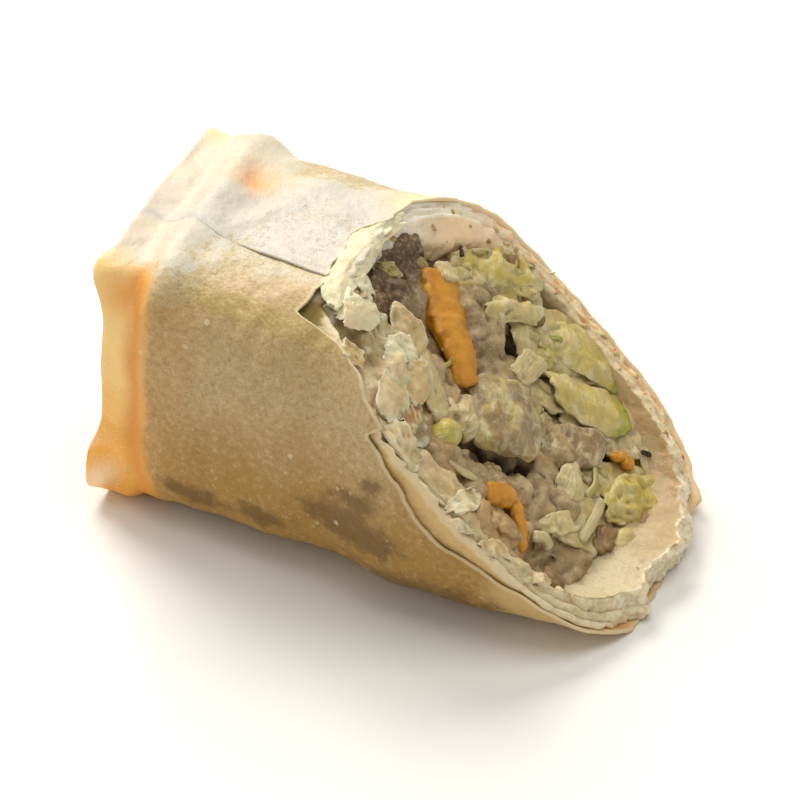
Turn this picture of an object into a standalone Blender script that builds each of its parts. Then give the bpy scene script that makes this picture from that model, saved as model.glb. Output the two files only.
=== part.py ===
"""Half of a fried spring roll, cut on the slant and lying on its side.

One sheet of pastry is rolled up in three turns round a cooked filling. Towards -X its sides are tucked in, so
the outer turn stands past them as a hollow collar. Towards +X the slanting cut shows the turns, stepped and
torn, and the filling. Lengths are in millimetres until a mesh is made.
"""

import math

import bmesh
import bpy
import numpy as np
from mathutils import Vector, noise

MM = 0.001
SEGMENTS = 64  # round each ring

# The roll, as stations along it from the folded end:
# distance, half width, top, underside, squareness, sideways drift of the middle.
STATIONS = (
    (0.0, 18.5, 36.4, -1.0, 6.6, 0.3),
    (4.0, 18.3, 36.0, -0.8, 6.0, 0.2),
    (8.0, 19.3, 37.8, 0.8, 4.8, 0.1),
    (14.0, 19.2, 37.2, -0.3, 4.0, -0.6),
    (30.0, 19.9, 38.6, -0.2, 3.1, -1.7),
    (44.0, 22.6, 41.4, -0.8, 3.0, -2.2),
    (74.0, 21.4, 41.6, -1.2, 2.3, -3.4),
)
UNDERSIDE_SQUARER = 1.25  # the weight of the roll flattens its lower half

# The slanting cut.
CUT_UNDER = 70.5  # folded end to cut, along the underside
CUT_OVER = 28.5  # the same at the height of the top
CUT_HEIGHT = 40.0
CUT_YAW = 0.02  # the near side is this much longer for each unit of width

# The pastry.
SHEET = 0.8  # one turn of fried pastry
TURNS = 3
SAG_LAYERS = 1.6  # slack pastry gathered under the filling
SEAM_ANGLE = math.radians(113.0)  # where the outer turn ends, measured from +Y over the top
SEAM_STEP = 0.7
SEAM_SLOPE = 0.014  # in radians: the step at the free edge is nearly upright

# The folded end.
COLLAR_WALL = 1.3  # the tucked sheet is double there
RIM_LEVEL = 1.6  # where the rim lies between its corners
# The rim stands out at the roll's corners: angle and half width in degrees, height.
# A negative height is a nick.
RIM_EARS = (
    (38.0, 16.0, 1.4),
    (90.0, 34.0, 0.9),
    (133.0, 7.0, 1.5),
    (149.0, 8.0, -0.5),
    (214.0, 14.0, 2.6),
    (270.0, 36.0, 0.8),
    (322.0, 16.0, 1.4),
)
RIM_ROUND = 0.4  # the rim is rounded over this length
COLLAR_MIDDLE = 3.4  # a ring halfway down the inside of the collar
# The tucked end inside the collar: share of the collar's inner size, distance from the corners of the rim.
# The inner turn's folded edge makes a ridge in it, nearer to the rim on the near side.
TUCK = ((1.0, 8.8), (0.93, 9.4), (0.84, 7.2), (0.74, 6.4), (0.62, 7.0), (0.48, 8.4), (0.3, 9.2))
TUCK_CENTRE = 8.8
TUCK_LEAN = 0.9

# Rings along the skin, from the rim to the torn edge, and back along the cavity, as shares of the way.
SKIN_RINGS = (0.06, 0.12, 0.19, 0.27, 0.37, 0.48, 0.6, 0.72, 0.84, 0.93)
CAVITY_RINGS = (0.85, 0.65, 0.45, 0.25, 0.1, 0.0)
END_RINGS = (0.7, 0.35)  # across a closed end, as shares of its size

# Torn edges of the turns at the cut: angle and half width of each tear in degrees, depth, turn.
# A tear with a negative depth is a flake that stands out.
TEARS = (
    (148.0, 13.0, 4.6, 0),
    (212.0, 26.0, 3.4, 0),
    (96.0, 24.0, 2.2, 0),
    (182.0, 9.0, 1.6, 1),
    (292.0, 9.0, 2.2, 0),
    (306.0, 5.0, -1.4, 0),
    (330.0, 16.0, -1.2, 0),
)
TURN_STEP = 1.1  # each inner turn shows this far past the one outside it
RAGGEDNESS = 0.5
RAGS = 4.0  # how quickly the edge's unevenness changes round the roll

# The filling.
CLEARANCE = 0.45
FILLING_START = 12.8
FILLING_RECESS = 1.0  # its face lies this far inside the innermost turn
LUMP_HEIGHT = 2.2
LUMP_SIZE = 8.0
LUMP_EDGE = 3.0  # the lumps reach full height a third of the way in from the edge
SIDE_RINGS = (0.0, 0.1, 0.25, 0.45, 0.65, 0.85, 1.0)
FACE_RINGS = (0.94, 0.84, 0.72, 0.6, 0.48, 0.36, 0.24, 0.12)

PASTRY_COLOUR = (0.66, 0.45, 0.22, 1.0)
FILLING_COLOUR = (0.36, 0.29, 0.18, 1.0)

OUT_OF_CUT = np.array((math.sqrt(0.5), 0.0, math.sqrt(0.5)))
ANGLES = SEAM_ANGLE + np.linspace(SEAM_SLOPE, 2 * math.pi - SEAM_SLOPE, SEGMENTS)


def eased(distance, column):
    """A column of STATIONS at a distance along the roll, easing from each station to the next."""
    places = [row[0] for row in STATIONS]
    values = [row[column] for row in STATIONS]
    index = np.clip(np.searchsorted(places, distance) - 1, 0, len(places) - 2)
    low, high = np.take(places, index), np.take(places, index + 1)
    share = np.clip((distance - low) / (high - low), 0.0, 1.0)
    share = share * share * (3 - 2 * share)
    return np.take(values, index) * (1 - share) + np.take(values, index + 1) * share


def section(distance, inset, size=1.0):
    """One ring of the roll, set in from its skin and drawn to a share of its size. Inputs are per angle."""
    distance = np.broadcast_to(distance, ANGLES.shape).astype(float)
    half_width, top, under, power, middle = (eased(distance, column) for column in range(1, 6))
    cosine, sine = np.cos(ANGLES), np.sin(ANGLES)
    power = np.where(sine < 0, power * UNDERSIDE_SQUARER, power)
    reach = (np.abs(cosine) ** power + np.abs(sine) ** power) ** (-1 / power)
    half_height = (top - under) / 2
    across = middle + (half_width - inset) * size * reach * cosine
    upright = under + half_height + (half_height - inset) * size * reach * sine
    return np.stack([distance, across, np.maximum(upright, 0.0)], axis=1)


def turned_past_seam():
    """How far the outer turn has wound, from 0 just past its free edge to 1 just before it."""
    return ((ANGLES - SEAM_ANGLE) % (2 * math.pi)) / (2 * math.pi)


def skin_inset():
    """The skin winds like a scroll: it lies a step lower just past the outer turn's free edge."""
    return SEAM_STEP * (1 - turned_past_seam())


def bump(angle, half_width):
    """A smooth bump round an angle, 1 at its middle. Both are in degrees."""
    away = (np.degrees(ANGLES) - angle + 180) % 360 - 180
    return np.exp(-((away / half_width) ** 2))


def wall():
    """Thickness of all the turns, with the slack pastry at the underside."""
    underneath = np.clip(-np.sin(ANGLES), 0.0, 1.0) ** 2
    return SHEET * TURNS + SAG_LAYERS * underneath


def cut_distance(inset):
    """Where the plane of the cut crosses each lengthwise line of the roll at this inset."""
    distance = np.full(SEGMENTS, (CUT_UNDER + CUT_OVER) / 2)
    for _ in range(40):
        ring = section(distance, inset)
        plane = CUT_UNDER + (CUT_OVER - CUT_UNDER) * ring[:, 2] / CUT_HEIGHT - CUT_YAW * ring[:, 1]
        distance = (distance + plane) / 2
    return distance


def edge_of_turn(turn, inset):
    """The torn edge of one turn: the cut, less the tears, plus the step past the turn outside it."""
    distance = cut_distance(inset) + TURN_STEP * (turn - 1)
    for centre, half_width, depth, torn_turn in TEARS:
        if torn_turn == turn:
            distance -= depth * bump(centre, half_width)
    ragged = [noise.noise(Vector((math.cos(a), math.sin(a), turn)) * RAGS) for a in ANGLES]
    return distance + RAGGEDNESS * np.array(ragged)


def rim_distance():
    """Where the collar's rim lies: furthest out at the roll's corners."""
    return RIM_LEVEL - sum(height * bump(angle, half_width) for angle, half_width, height in RIM_EARS)


def pastry_rings():
    """Rings of the pastry, from the middle of the tucked end, over the collar and the skin, to the cavity.

    The two points that close it follow the rings.
    """
    skin, thickness, rim = skin_inset(), wall(), rim_distance()
    lean = TUCK_LEAN * np.cos(ANGLES)
    rings = [section(place + lean * share, COLLAR_WALL, share) for share, place in reversed(TUCK)]
    rings.append(section(COLLAR_MIDDLE + rim / 2, COLLAR_WALL))
    rings.append(section(rim + RIM_ROUND, COLLAR_WALL))
    rings.append(section(rim, COLLAR_WALL / 2))
    rings.append(section(rim + RIM_ROUND, skin))
    edges = [edge_of_turn(turn, skin + SHEET * turn) for turn in range(TURNS)]
    start = rim + RIM_ROUND
    for share in SKIN_RINGS:
        rings.append(section(start + (edges[0] - start) * share, skin))
    for turn, edge in enumerate(edges):
        outer = skin + (thickness - skin) * turn / TURNS
        rings.append(section(edge, outer))
        inner = skin + (thickness - skin) * (turn + 1) / TURNS
        rings.append(section(edge, inner))
    inside_end = FILLING_START - CLEARANCE
    for share in CAVITY_RINGS:
        rings.append(section(inside_end + (edges[-1] - inside_end) * share, thickness))
    for size in END_RINGS:
        rings.append(section(inside_end, thickness, size))
    return rings, middle_of(rings[0], TUCK_CENTRE), middle_of(rings[-1], inside_end)


def filling_rings():
    """Rings of the filling, from its hidden end to its cut face, and the two points that close it."""
    inset = wall() + CLEARANCE
    face = edge_of_turn(TURNS - 1, inset) - TURN_STEP - FILLING_RECESS
    rings = [section(FILLING_START, inset, size) for size in reversed(END_RINGS)]
    for share in SIDE_RINGS:
        rings.append(section(FILLING_START + (face - FILLING_START) * share, inset))
    middle = rings[-1].mean(axis=0)
    edge = rings[-1].copy()
    for share in FACE_RINGS:
        rings.append(lumpy(middle + (edge - middle) * share, 1 - share))
    return rings, middle_of(rings[0], FILLING_START), lumpy(middle[None, :], 1.0)[0]


def lumpy(points, depth_in):
    """The cut face of the filling rises and falls where the pieces in it were cut."""
    raised = points.copy()
    for point in raised:
        lump = noise.noise(Vector(point) / LUMP_SIZE)
        point += OUT_OF_CUT * LUMP_HEIGHT * lump * min(1.0, LUMP_EDGE * depth_in)
    return raised


def middle_of(ring, distance):
    """The point at the middle of a ring, at a distance along the roll."""
    point = ring.mean(axis=0)
    point[0] = distance
    return point


def closed_mesh(name, rings, first_pole, last_pole):
    """A closed mesh skinned over rings of equal count, with a fan to a pole at each end."""
    mesh = bmesh.new()
    loops = [[mesh.verts.new(Vector(point) * MM) for point in ring] for ring in rings]
    for one, two in zip(loops, loops[1:]):
        for i in range(SEGMENTS):
            j = (i + 1) % SEGMENTS
            mesh.faces.new((one[i], one[j], two[j], two[i]))
    for pole, loop, turned in ((first_pole, loops[0], True), (last_pole, loops[-1], False)):
        tip = mesh.verts.new(Vector(pole) * MM)
        for i in range(SEGMENTS):
            j = (i + 1) % SEGMENTS
            mesh.faces.new((tip, loop[j], loop[i]) if turned else (tip, loop[i], loop[j]))
    bmesh.ops.recalc_face_normals(mesh, faces=mesh.faces)
    data = bpy.data.meshes.new(name)
    mesh.to_mesh(data)
    mesh.free()
    data.shade_smooth()
    data.set_sharp_from_angle(angle=math.radians(40))
    return data


def finish(name, colour, roughness):
    """A plain finish for one material of the roll."""
    material = bpy.data.materials.new(name)
    material.use_nodes = True
    shader = material.node_tree.nodes["Principled BSDF"]
    shader.inputs["Base Color"].default_value = colour
    shader.inputs["Roughness"].default_value = roughness
    shader.inputs["Metallic"].default_value = 0.0
    return material


def add_object(name, data, material, collection):
    """One named object of the roll."""
    data.materials.append(material)
    made = bpy.data.objects.new(name, data)
    collection.objects.link(made)
    return made


def centre_on_base(objects):
    """Moves the meshes so that the origin is under the middle of the roll, on the surface it lies on."""
    corners = np.array([vertex.co for made in objects for vertex in made.data.vertices])
    low, high = corners.min(axis=0), corners.max(axis=0)
    shift = Vector(((low[0] + high[0]) / -2, (low[1] + high[1]) / -2, -low[2]))
    for made in objects:
        for vertex in made.data.vertices:
            vertex.co += shift


def build():
    """Clears the scene and makes the two pieces of the roll."""
    for old in list(bpy.data.objects):
        bpy.data.objects.remove(old)
    collection = bpy.data.collections.new("spring_roll_half")
    bpy.context.scene.collection.children.link(collection)

    rings, tuck, inside_end = pastry_rings()
    pastry = closed_mesh("wrapper", rings, tuck, inside_end)
    wrapper = add_object("wrapper", pastry, finish("fried_pastry", PASTRY_COLOUR, 0.55), collection)

    rings, hidden_end, face_middle = filling_rings()
    stuffing = closed_mesh("filling", rings, hidden_end, face_middle)
    filling = add_object("filling", stuffing, finish("cooked_filling", FILLING_COLOUR, 0.5), collection)

    centre_on_base([wrapper, filling])


build()
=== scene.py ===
"""Half of a fried spring roll, cut on the slant: its layered pastry, its hollow folded end and its filling.

Lengths are in millimetres along the roll's own axes until a mesh is made: distance from the folded end, then
across (+ is the far side), then up.
"""

import math

import bmesh
import bpy
import numpy as np
from mathutils import Matrix, Vector, noise


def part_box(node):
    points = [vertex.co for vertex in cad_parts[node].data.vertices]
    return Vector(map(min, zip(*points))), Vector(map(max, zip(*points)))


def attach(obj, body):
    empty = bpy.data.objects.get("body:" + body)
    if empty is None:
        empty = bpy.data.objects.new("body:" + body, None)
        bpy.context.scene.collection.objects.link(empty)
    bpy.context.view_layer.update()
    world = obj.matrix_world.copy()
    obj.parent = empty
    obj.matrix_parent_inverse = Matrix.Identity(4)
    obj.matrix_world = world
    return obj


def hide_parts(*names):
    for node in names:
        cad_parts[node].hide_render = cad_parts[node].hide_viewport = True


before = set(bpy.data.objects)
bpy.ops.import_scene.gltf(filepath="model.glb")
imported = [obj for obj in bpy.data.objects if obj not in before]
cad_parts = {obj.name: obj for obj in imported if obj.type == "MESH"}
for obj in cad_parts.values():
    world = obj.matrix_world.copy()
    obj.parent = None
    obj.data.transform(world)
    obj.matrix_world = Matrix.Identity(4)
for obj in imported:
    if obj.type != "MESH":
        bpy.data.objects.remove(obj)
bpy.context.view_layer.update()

# ---- The camera and the light ----
# The half lies on a pale table under a soft light from behind on the left, so its top is bright and its
# near side is in shade. The camera looks down on the cut from the right.

MM = 0.001
CAMERA_TURN = math.radians(24.0)
CAMERA_RISE = math.radians(38.0)
CAMERA_DISTANCE = 0.9
VIEW_WIDTH = 0.098
SENSOR = 36.0


def colour(red, green, blue):
    """A display colour, 0 to 255, as the linear colour that a shader takes."""
    shares = [value / 255 for value in (red, green, blue)]
    return (*((s / 12.92 if s <= 0.04045 else ((s + 0.055) / 1.055) ** 2.4) for s in shares), 1.0)


def add_object(name, data):
    """An object, linked to the scene."""
    made = bpy.data.objects.new(name, data)
    bpy.context.scene.collection.objects.link(made)
    return made


def point_at(made, target):
    """Turns a camera or a light so that it faces a place."""
    made.rotation_euler = (Vector(target) - made.location).to_track_quat("-Z", "Y").to_euler()


look_at = Vector((-0.0005, 0.0, 0.0158))
backwards = Vector((
    math.sin(CAMERA_TURN) * math.cos(CAMERA_RISE),
    -math.cos(CAMERA_TURN) * math.cos(CAMERA_RISE),
    math.sin(CAMERA_RISE),
))
camera = add_object("camera", bpy.data.cameras.new("camera"))
camera.location = look_at + backwards * CAMERA_DISTANCE
point_at(camera, look_at)
camera.data.sensor_width = SENSOR
camera.data.lens = SENSOR * CAMERA_DISTANCE / VIEW_WIDTH
camera.data.clip_start = 0.01
bpy.context.scene.camera = camera


def soft_light(name, place, target, size, power, tint):
    """A square soft box."""
    lamp = bpy.data.lights.new(name, "AREA")
    lamp.shape = "SQUARE"
    lamp.size = size
    lamp.energy = power
    lamp.color = colour(*tint)[:3]
    made = add_object(name, lamp)
    made.location = place
    point_at(made, target)


soft_light("window_light", (-0.50, 0.42, 0.62), (0.0, 0.0, 0.01), 0.45, 7.6, (255, 250, 240))
soft_light("overhead_light", (0.10, 0.05, 0.90), (0.0, 0.0, 0.0), 0.60, 3.2, (255, 253, 250))
soft_light("side_fill", (-0.75, -0.35, 0.25), (0.0, 0.0, 0.02), 0.40, 1.0, (255, 246, 232))

world = bpy.data.worlds.new("studio")
bpy.context.scene.world = world
world.use_nodes = True
backdrop = world.node_tree.nodes["Background"].inputs
backdrop["Color"].default_value = colour(255, 252, 246)
backdrop["Strength"].default_value = 0.42
bpy.context.scene.view_settings.view_transform = "Standard"

# ---- The table ----
# A plain pale top, satin, with the faintest unevenness of tint. It is only a floor to lie on, far wider than
# the view.


class Wire:
    """An output of a material's nodes that carries a number. Sums on it add Math nodes."""

    def __init__(self, paint, socket):
        self.paint = paint
        self.socket = socket

    def maths(self, operation, *inputs):
        return self.paint.add("ShaderNodeMath", {"operation": operation}, dict(enumerate(inputs)))

    def __add__(self, other):
        return self.maths("ADD", self, other)

    def __sub__(self, other):
        return self.maths("SUBTRACT", self, other)

    def __rsub__(self, other):
        return self.maths("SUBTRACT", other, self)

    def __mul__(self, other):
        return self.maths("MULTIPLY", self, other)

    __radd__ = __add__
    __rmul__ = __mul__


class Paint:
    """A material and its Principled shader. One method adds any node and wires it."""

    def __init__(self, name, **fixed):
        self.material = bpy.data.materials.new(name)
        self.material.use_nodes = True
        self.tree = self.material.node_tree
        self.shader = self.tree.nodes["Principled BSDF"]
        self.base = None
        for socket, value in fixed.items():
            self.shader.inputs[socket.replace("_", " ")].default_value = value

    def add(self, kind, settings=None, sockets=None, output=0):
        """Adds a node, applies its settings, fills or links its sockets and gives one of its outputs."""
        node = self.tree.nodes.new(kind)
        for setting, value in (settings or {}).items():
            setattr(node, setting, value)
        for socket, value in (sockets or {}).items():
            self.fill(node.inputs[socket], value)
        return Wire(self, node.outputs[output])

    def fill(self, socket, value):
        """Links a wire to a socket, or sets the socket's own value."""
        if isinstance(value, Wire):
            self.tree.links.new(value.socket, socket)
        else:
            socket.default_value = value

    def set(self, **looks):
        """Links the colour, and what else changes over the surface, to the shader."""
        for socket, value in {"Base_Color": self.base, **looks}.items():
            self.fill(self.shader.inputs[socket.replace("_", " ")], value)
        return self

    def place(self):
        """The place on the piece, in metres."""
        return self.add("ShaderNodeTexCoord", output="Object")

    def grain(self, size, detail=3.0, roughness=0.5, stretch=None):
        """Noise from 0 to 1 with spots of a size in millimetres, drawn out along the axes by stretch."""
        where = self.place()
        if stretch:
            where = self.add("ShaderNodeMapping", None, {"Vector": where, "Scale": stretch})
        sockets = {"Vector": where, "Scale": 1 / (size * MM), "Detail": detail, "Roughness": roughness}
        return self.add("ShaderNodeTexNoise", None, sockets)

    def spots(self, size):
        """Distance to the nearest of many scattered points, from 0 at a point to about 1 between them."""
        sockets = {"Vector": self.place(), "Scale": 1 / (size * MM)}
        return self.add("ShaderNodeTexVoronoi", {"feature": "F1"}, sockets)

    def between(self, value, low, high):
        """0 below low, 1 above high, smooth between. Low may be the larger, which turns it round."""
        sockets = {"Value": value, "From Min": low, "From Max": high}
        return self.add("ShaderNodeMapRange", {"interpolation_type": "SMOOTHSTEP"}, sockets)

    def mixed(self, share, one, other):
        """Two colours, each a wire or a display colour, mixed by a share."""
        one, other = (tint if isinstance(tint, Wire) else colour(*tint) for tint in (one, other))
        settings = {"data_type": "RGBA", "clamp_result": True}
        return self.add("ShaderNodeMix", settings, {0: share, 6: one, 7: other}, output=2)

    def start(self, share, one, other):
        """The colour that the others go over: one mixed with another by a share."""
        self.base = self.mixed(share, one, other)

    def over(self, share, tint):
        """Lays a colour by a share over what the surface has so far."""
        self.base = self.mixed(share, self.base, tint)

    def mask(self, name):
        """A number stored on the mesh."""
        return self.add("ShaderNodeAttribute", {"attribute_name": name}, output="Fac")

    def relief(self, height, depth, under=None):
        """Bump of a depth in millimetres, over another bump where one is given."""
        sockets = {"Height": height, "Distance": depth * MM}
        if under:
            sockets["Normal"] = under
        return self.add("ShaderNodeBump", None, sockets)


def table():
    """A flat square of small quads."""
    half_width = 1.5
    steps = 24
    mesh = bpy.data.meshes.new("table")
    spread = [half_width * (2 * i / steps - 1) for i in range(steps + 1)]
    points = [(x, y, 0.0) for x in spread for y in spread]
    across = steps + 1
    corners = [i * across + j for i in range(steps) for j in range(steps)]
    mesh.from_pydata(points, [], [(c, c + across, c + across + 1, c + 1) for c in corners])
    paint = Paint("pale_table", Roughness=0.6)
    paint.start(paint.between(paint.grain(40.0), 0.35, 0.65), (236, 235, 232), (240, 239, 236))
    mesh.materials.append(paint.set().material)
    add_object("table", mesh)


table()

# ---- The outer turn ----
# The last turn of the rolled pastry sheet, thin and blistered from frying. Its free edge lies along the top,
# its collar stands past the folded end, and at the cut it has broken back in a ragged line with a notch.

# The roll's outline at stations along it: distance, half width, top, underside, squareness, drift of the
# middle sideways.
STATIONS = (
    (0.0, 18.5, 36.4, -1.0, 6.6, 0.3),
    (4.0, 18.3, 36.0, -0.8, 6.0, 0.2),
    (8.0, 19.3, 37.8, 0.8, 4.8, 0.1),
    (14.0, 19.2, 37.2, -0.3, 4.0, -0.6),
    (30.0, 19.9, 38.6, -0.2, 3.1, -1.7),
    (44.0, 22.6, 41.4, -0.8, 3.0, -2.2),
    (74.0, 21.4, 41.6, -1.2, 2.3, -3.4),
)
# How much squarer the underside is than the top.
UNDERSIDE_SQUARER = 1.25
# The plane of the cut: its distance at the underside and at its height above, and how far it turns sideways.
CUT_UNDER = 70.5
CUT_OVER = 28.5
CUT_HEIGHT = 40.0
CUT_YAW = 0.02
# The free edge of the sheet: its angle, the step down from it, and how many degrees it leans by the collar.
SEAM_ANGLE = 113.0
SEAM_STEP = 0.7
SEAM_LEAN = 5.5
# The thickness of the sheet.
SHEET = 0.5
# Where the collar's rim lies along the roll between its ears.
RIM_LEVEL = 1.6
# The ears and notches of the collar's rim: angle, half width, height.
RIM_EARS = (
    (38.0, 16.0, 0.9),
    (90.0, 34.0, 0.9),
    (133.0, 7.0, 1.5),
    (149.0, 8.0, -0.5),
    (214.0, 14.0, 2.6),
    (270.0, 36.0, 0.8),
    (322.0, 16.0, 1.4),
)
# How far the broken edge lies past the plane of the cut, by angle round the roll.
BROKEN_EDGE = (
    (-60.0, -1.8), (-52.0, 1.2), (-46.0, 0.6), (-30.0, 1.0), (-12.0, 0.3), (10.0, 0.0), (30.0, 0.8),
    (45.0, 1.4), (60.0, 0.6), (76.0, 0.8), (82.0, -1.6), (89.0, -2.6), (97.0, -1.8), (106.0, -2.2),
    (112.0, -2.0), (128.0, -6.2), (130.5, -3.6), (135.0, -0.4), (141.0, 1.4), (149.5, 1.0), (156.0, 1.2),
    (159.5, -1.8), (167.0, -2.8), (177.5, -4.2), (188.5, -6.6), (197.5, -6.2), (203.0, -3.8), (210.0, -1.6),
    (220.0, -0.5), (236.0, -0.2), (260.0, -0.1), (284.0, -0.4), (293.0, -2.4), (300.0, -1.8),
)
# Dents and swellings of the collar and beside it: rise, angle, half width, distance, half width.
DENTS = (
    (-0.8, 70.0, 8.0, 11.4, 2.2),
    (-0.35, 139.0, 5.0, 4.6, 2.4),
    (0.5, 130.0, 6.0, 2.0, 3.0),
    (0.9, 52.0, 13.0, 5.4, 2.4),
)
# Where the filling shows dark through the sheet: angle, distance, half widths in degrees and millimetres.
SHOWING_PLACES = (
    (201.0, 34.0, 7.0, 5.0),
    (189.0, 38.0, 5.0, 4.0),
    (203.0, 40.0, 7.0, 5.0),
    (180.0, 40.5, 4.0, 2.0),
    (214.0, 14.0, 5.0, 5.0),
    (212.0, 24.0, 5.0, 4.0),
    (222.0, 46.0, 10.0, 12.0),
    (265.0, 30.0, 18.0, 14.0),
    (330.0, 24.0, 12.0, 7.0),
)

box_low, box_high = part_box("wrapper")
# The roll's axis starts a little inside the rim's lowest ear, and lies a little off the middle of the box.
ROLL_START = Vector((box_low.x + 1.02 * MM, (box_low.y + box_high.y) / 2 + 2.04 * MM, box_low.z))


def eased(distance, column):
    """A column of STATIONS at a distance along the roll, easing from each station to the next."""
    places = [row[0] for row in STATIONS]
    values = [row[column] for row in STATIONS]
    index = np.clip(np.searchsorted(places, distance) - 1, 0, len(places) - 2)
    low, high = np.take(places, index), np.take(places, index + 1)
    share = np.clip((distance - low) / (high - low), 0.0, 1.0)
    share = share * share * (3 - 2 * share)
    return np.take(values, index) * (1 - share) + np.take(values, index + 1) * share


def roll_points(angle, distance, inset, share=1.0):
    """Points of the roll at angles in degrees, from the far side over the top, set in from its skin."""
    angle, distance, inset, share = np.broadcast_arrays(np.radians(angle), distance, inset, share)
    half_width, top, under, power, middle = (eased(distance, column) for column in range(1, 6))
    cosine, sine = np.cos(angle), np.sin(angle)
    power = np.where(sine < 0, power * UNDERSIDE_SQUARER, power)
    reach = share * (np.abs(cosine) ** power + np.abs(sine) ** power) ** (-1 / power)
    half_height = (top - under) / 2
    across = middle + (half_width - inset) * reach * cosine
    upright = under + half_height + (half_height - inset) * reach * sine
    return np.stack([distance, across, np.maximum(upright, 0.0)], axis=-1)


def past_seam(angle):
    """How far round the outer turn has wound from its free edge, 0 to 1."""
    return ((SEAM_ANGLE - angle) % 360.0) / 360.0


def cut_distance(angle, inset):
    """Where the plane of the cut crosses each lengthwise line of the roll."""
    distance = np.full(np.shape(angle), (CUT_UNDER + CUT_OVER) / 2)
    for _ in range(40):
        ring = roll_points(angle, distance, inset)
        plane = CUT_UNDER + (CUT_OVER - CUT_UNDER) * ring[..., 2] / CUT_HEIGHT - CUT_YAW * ring[..., 1]
        distance = (distance + plane) / 2
    return distance


def bump(angle, middle, half_width):
    """A smooth bump round an angle, 1 at its middle."""
    away = (np.asarray(angle) - middle + 180.0) % 360.0 - 180.0
    return np.exp(-((away / half_width) ** 2))


def hill(value, middle, half_width):
    """A smooth hill along a length, 1 at its middle."""
    return np.exp(-(((np.asarray(value) - middle) / half_width) ** 2))


def by_angle(angle, corners):
    """A value that runs straight between corners given as angle and value."""
    places = [corner[0] for corner in corners]
    return np.interp(np.asarray(angle) % 360.0, places, [corner[1] for corner in corners], period=360.0)


# How far apart the noise of two neighbouring seeds is read, along each axis.
SEED_STEPS = (17.3, 5.1, -9.7)


def rough(points, size, seed, octaves=1):
    """Smooth noise from about -1 to 1 at points, with lumps of a size."""
    flat = np.asarray(points, float).reshape(-1, 3) / size
    shift = Vector([seed * step for step in SEED_STEPS])
    if octaves == 1:
        values = [noise.noise(Vector(p) + shift) for p in flat]
    else:
        values = [noise.fractal(Vector(p) + shift, 1.0, 2.0, octaves) for p in flat]
    return np.array(values).reshape(np.shape(points)[:-1])


def creased(points, size, seed):
    """Noise from about -1 to 1 with sharp creases between smooth lumps."""
    return 1.0 - 4.0 * np.abs(rough(points, size, seed))


def torn(angle, depth, seed):
    """Small nicks and chips along a torn edge, by angle."""
    angle = np.radians(angle)
    ring = np.stack([np.cos(angle) * 20, np.sin(angle) * 20, np.zeros(np.shape(angle))], axis=-1)
    chips = rough(ring, 2.6, seed) + 0.6 * rough(ring, 1.1, seed + 1) + 0.3 * rough(ring, 0.5, seed + 2)
    return depth * chips


def rim_distance(angle):
    """Where the collar's rim lies: furthest out at the roll's corners."""
    return RIM_LEVEL - sum(height * bump(angle, middle, half) for middle, half, height in RIM_EARS)


def as_mesh(name, points, faces, masks=None):
    """A smooth mesh, faces outwards, from points in millimetres, with numbers stored on its points."""
    mesh = bpy.data.meshes.new(name)
    placed = np.asarray(points, float).reshape(-1, 3) * MM + np.array(ROLL_START)
    mesh.from_pydata(placed.tolist(), [], faces)
    for mask, values in (masks or {}).items():
        stored = mesh.attributes.new(mask, "FLOAT", "POINT")
        stored.data.foreach_set("value", np.asarray(values, np.float32).ravel())
    shell = bmesh.new()
    shell.from_mesh(mesh)
    bmesh.ops.recalc_face_normals(shell, faces=shell.faces)
    shell.to_mesh(mesh)
    shell.free()
    mesh.shade_smooth()
    mesh.update()
    return mesh


def ring_faces(rings, around, closed=False, capped=False):
    """Quads between rings of equal count. Closed joins the last ring to the first, capped fills the ends."""
    faces = []
    for i in range(rings if closed else rings - 1):
        one, two = i * around, (i + 1) % rings * around
        faces += [(one + j, one + (j + 1) % around, two + (j + 1) % around, two + j) for j in range(around)]
    if capped:
        last = (rings - 1) * around
        faces += [tuple(range(around))[::-1], tuple(last + j for j in range(around))]
    return faces


def finish_piece(name, mesh, paint, slot, *nodes):
    """A finished piece of the roll: its material, its body and the solids it stands for. The slot is not
    used.
    """
    mesh.materials.clear()
    mesh.materials.append(paint.material)
    made = add_object(name, mesh)
    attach(made, "root")
    for node in nodes:
        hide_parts(node)


def wander(points):
    """A slow drift of the crease and the browning beside the collar."""
    return rough(points * (0.0, 1.0, 1.0), 9.0, 5)


def puckers(angle, distance):
    """Fine wrinkles that fan out over the low near corner of the collar."""
    return np.sin(np.radians(angle - 214.0) * 22.0 + 0.6 * distance)


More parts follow.
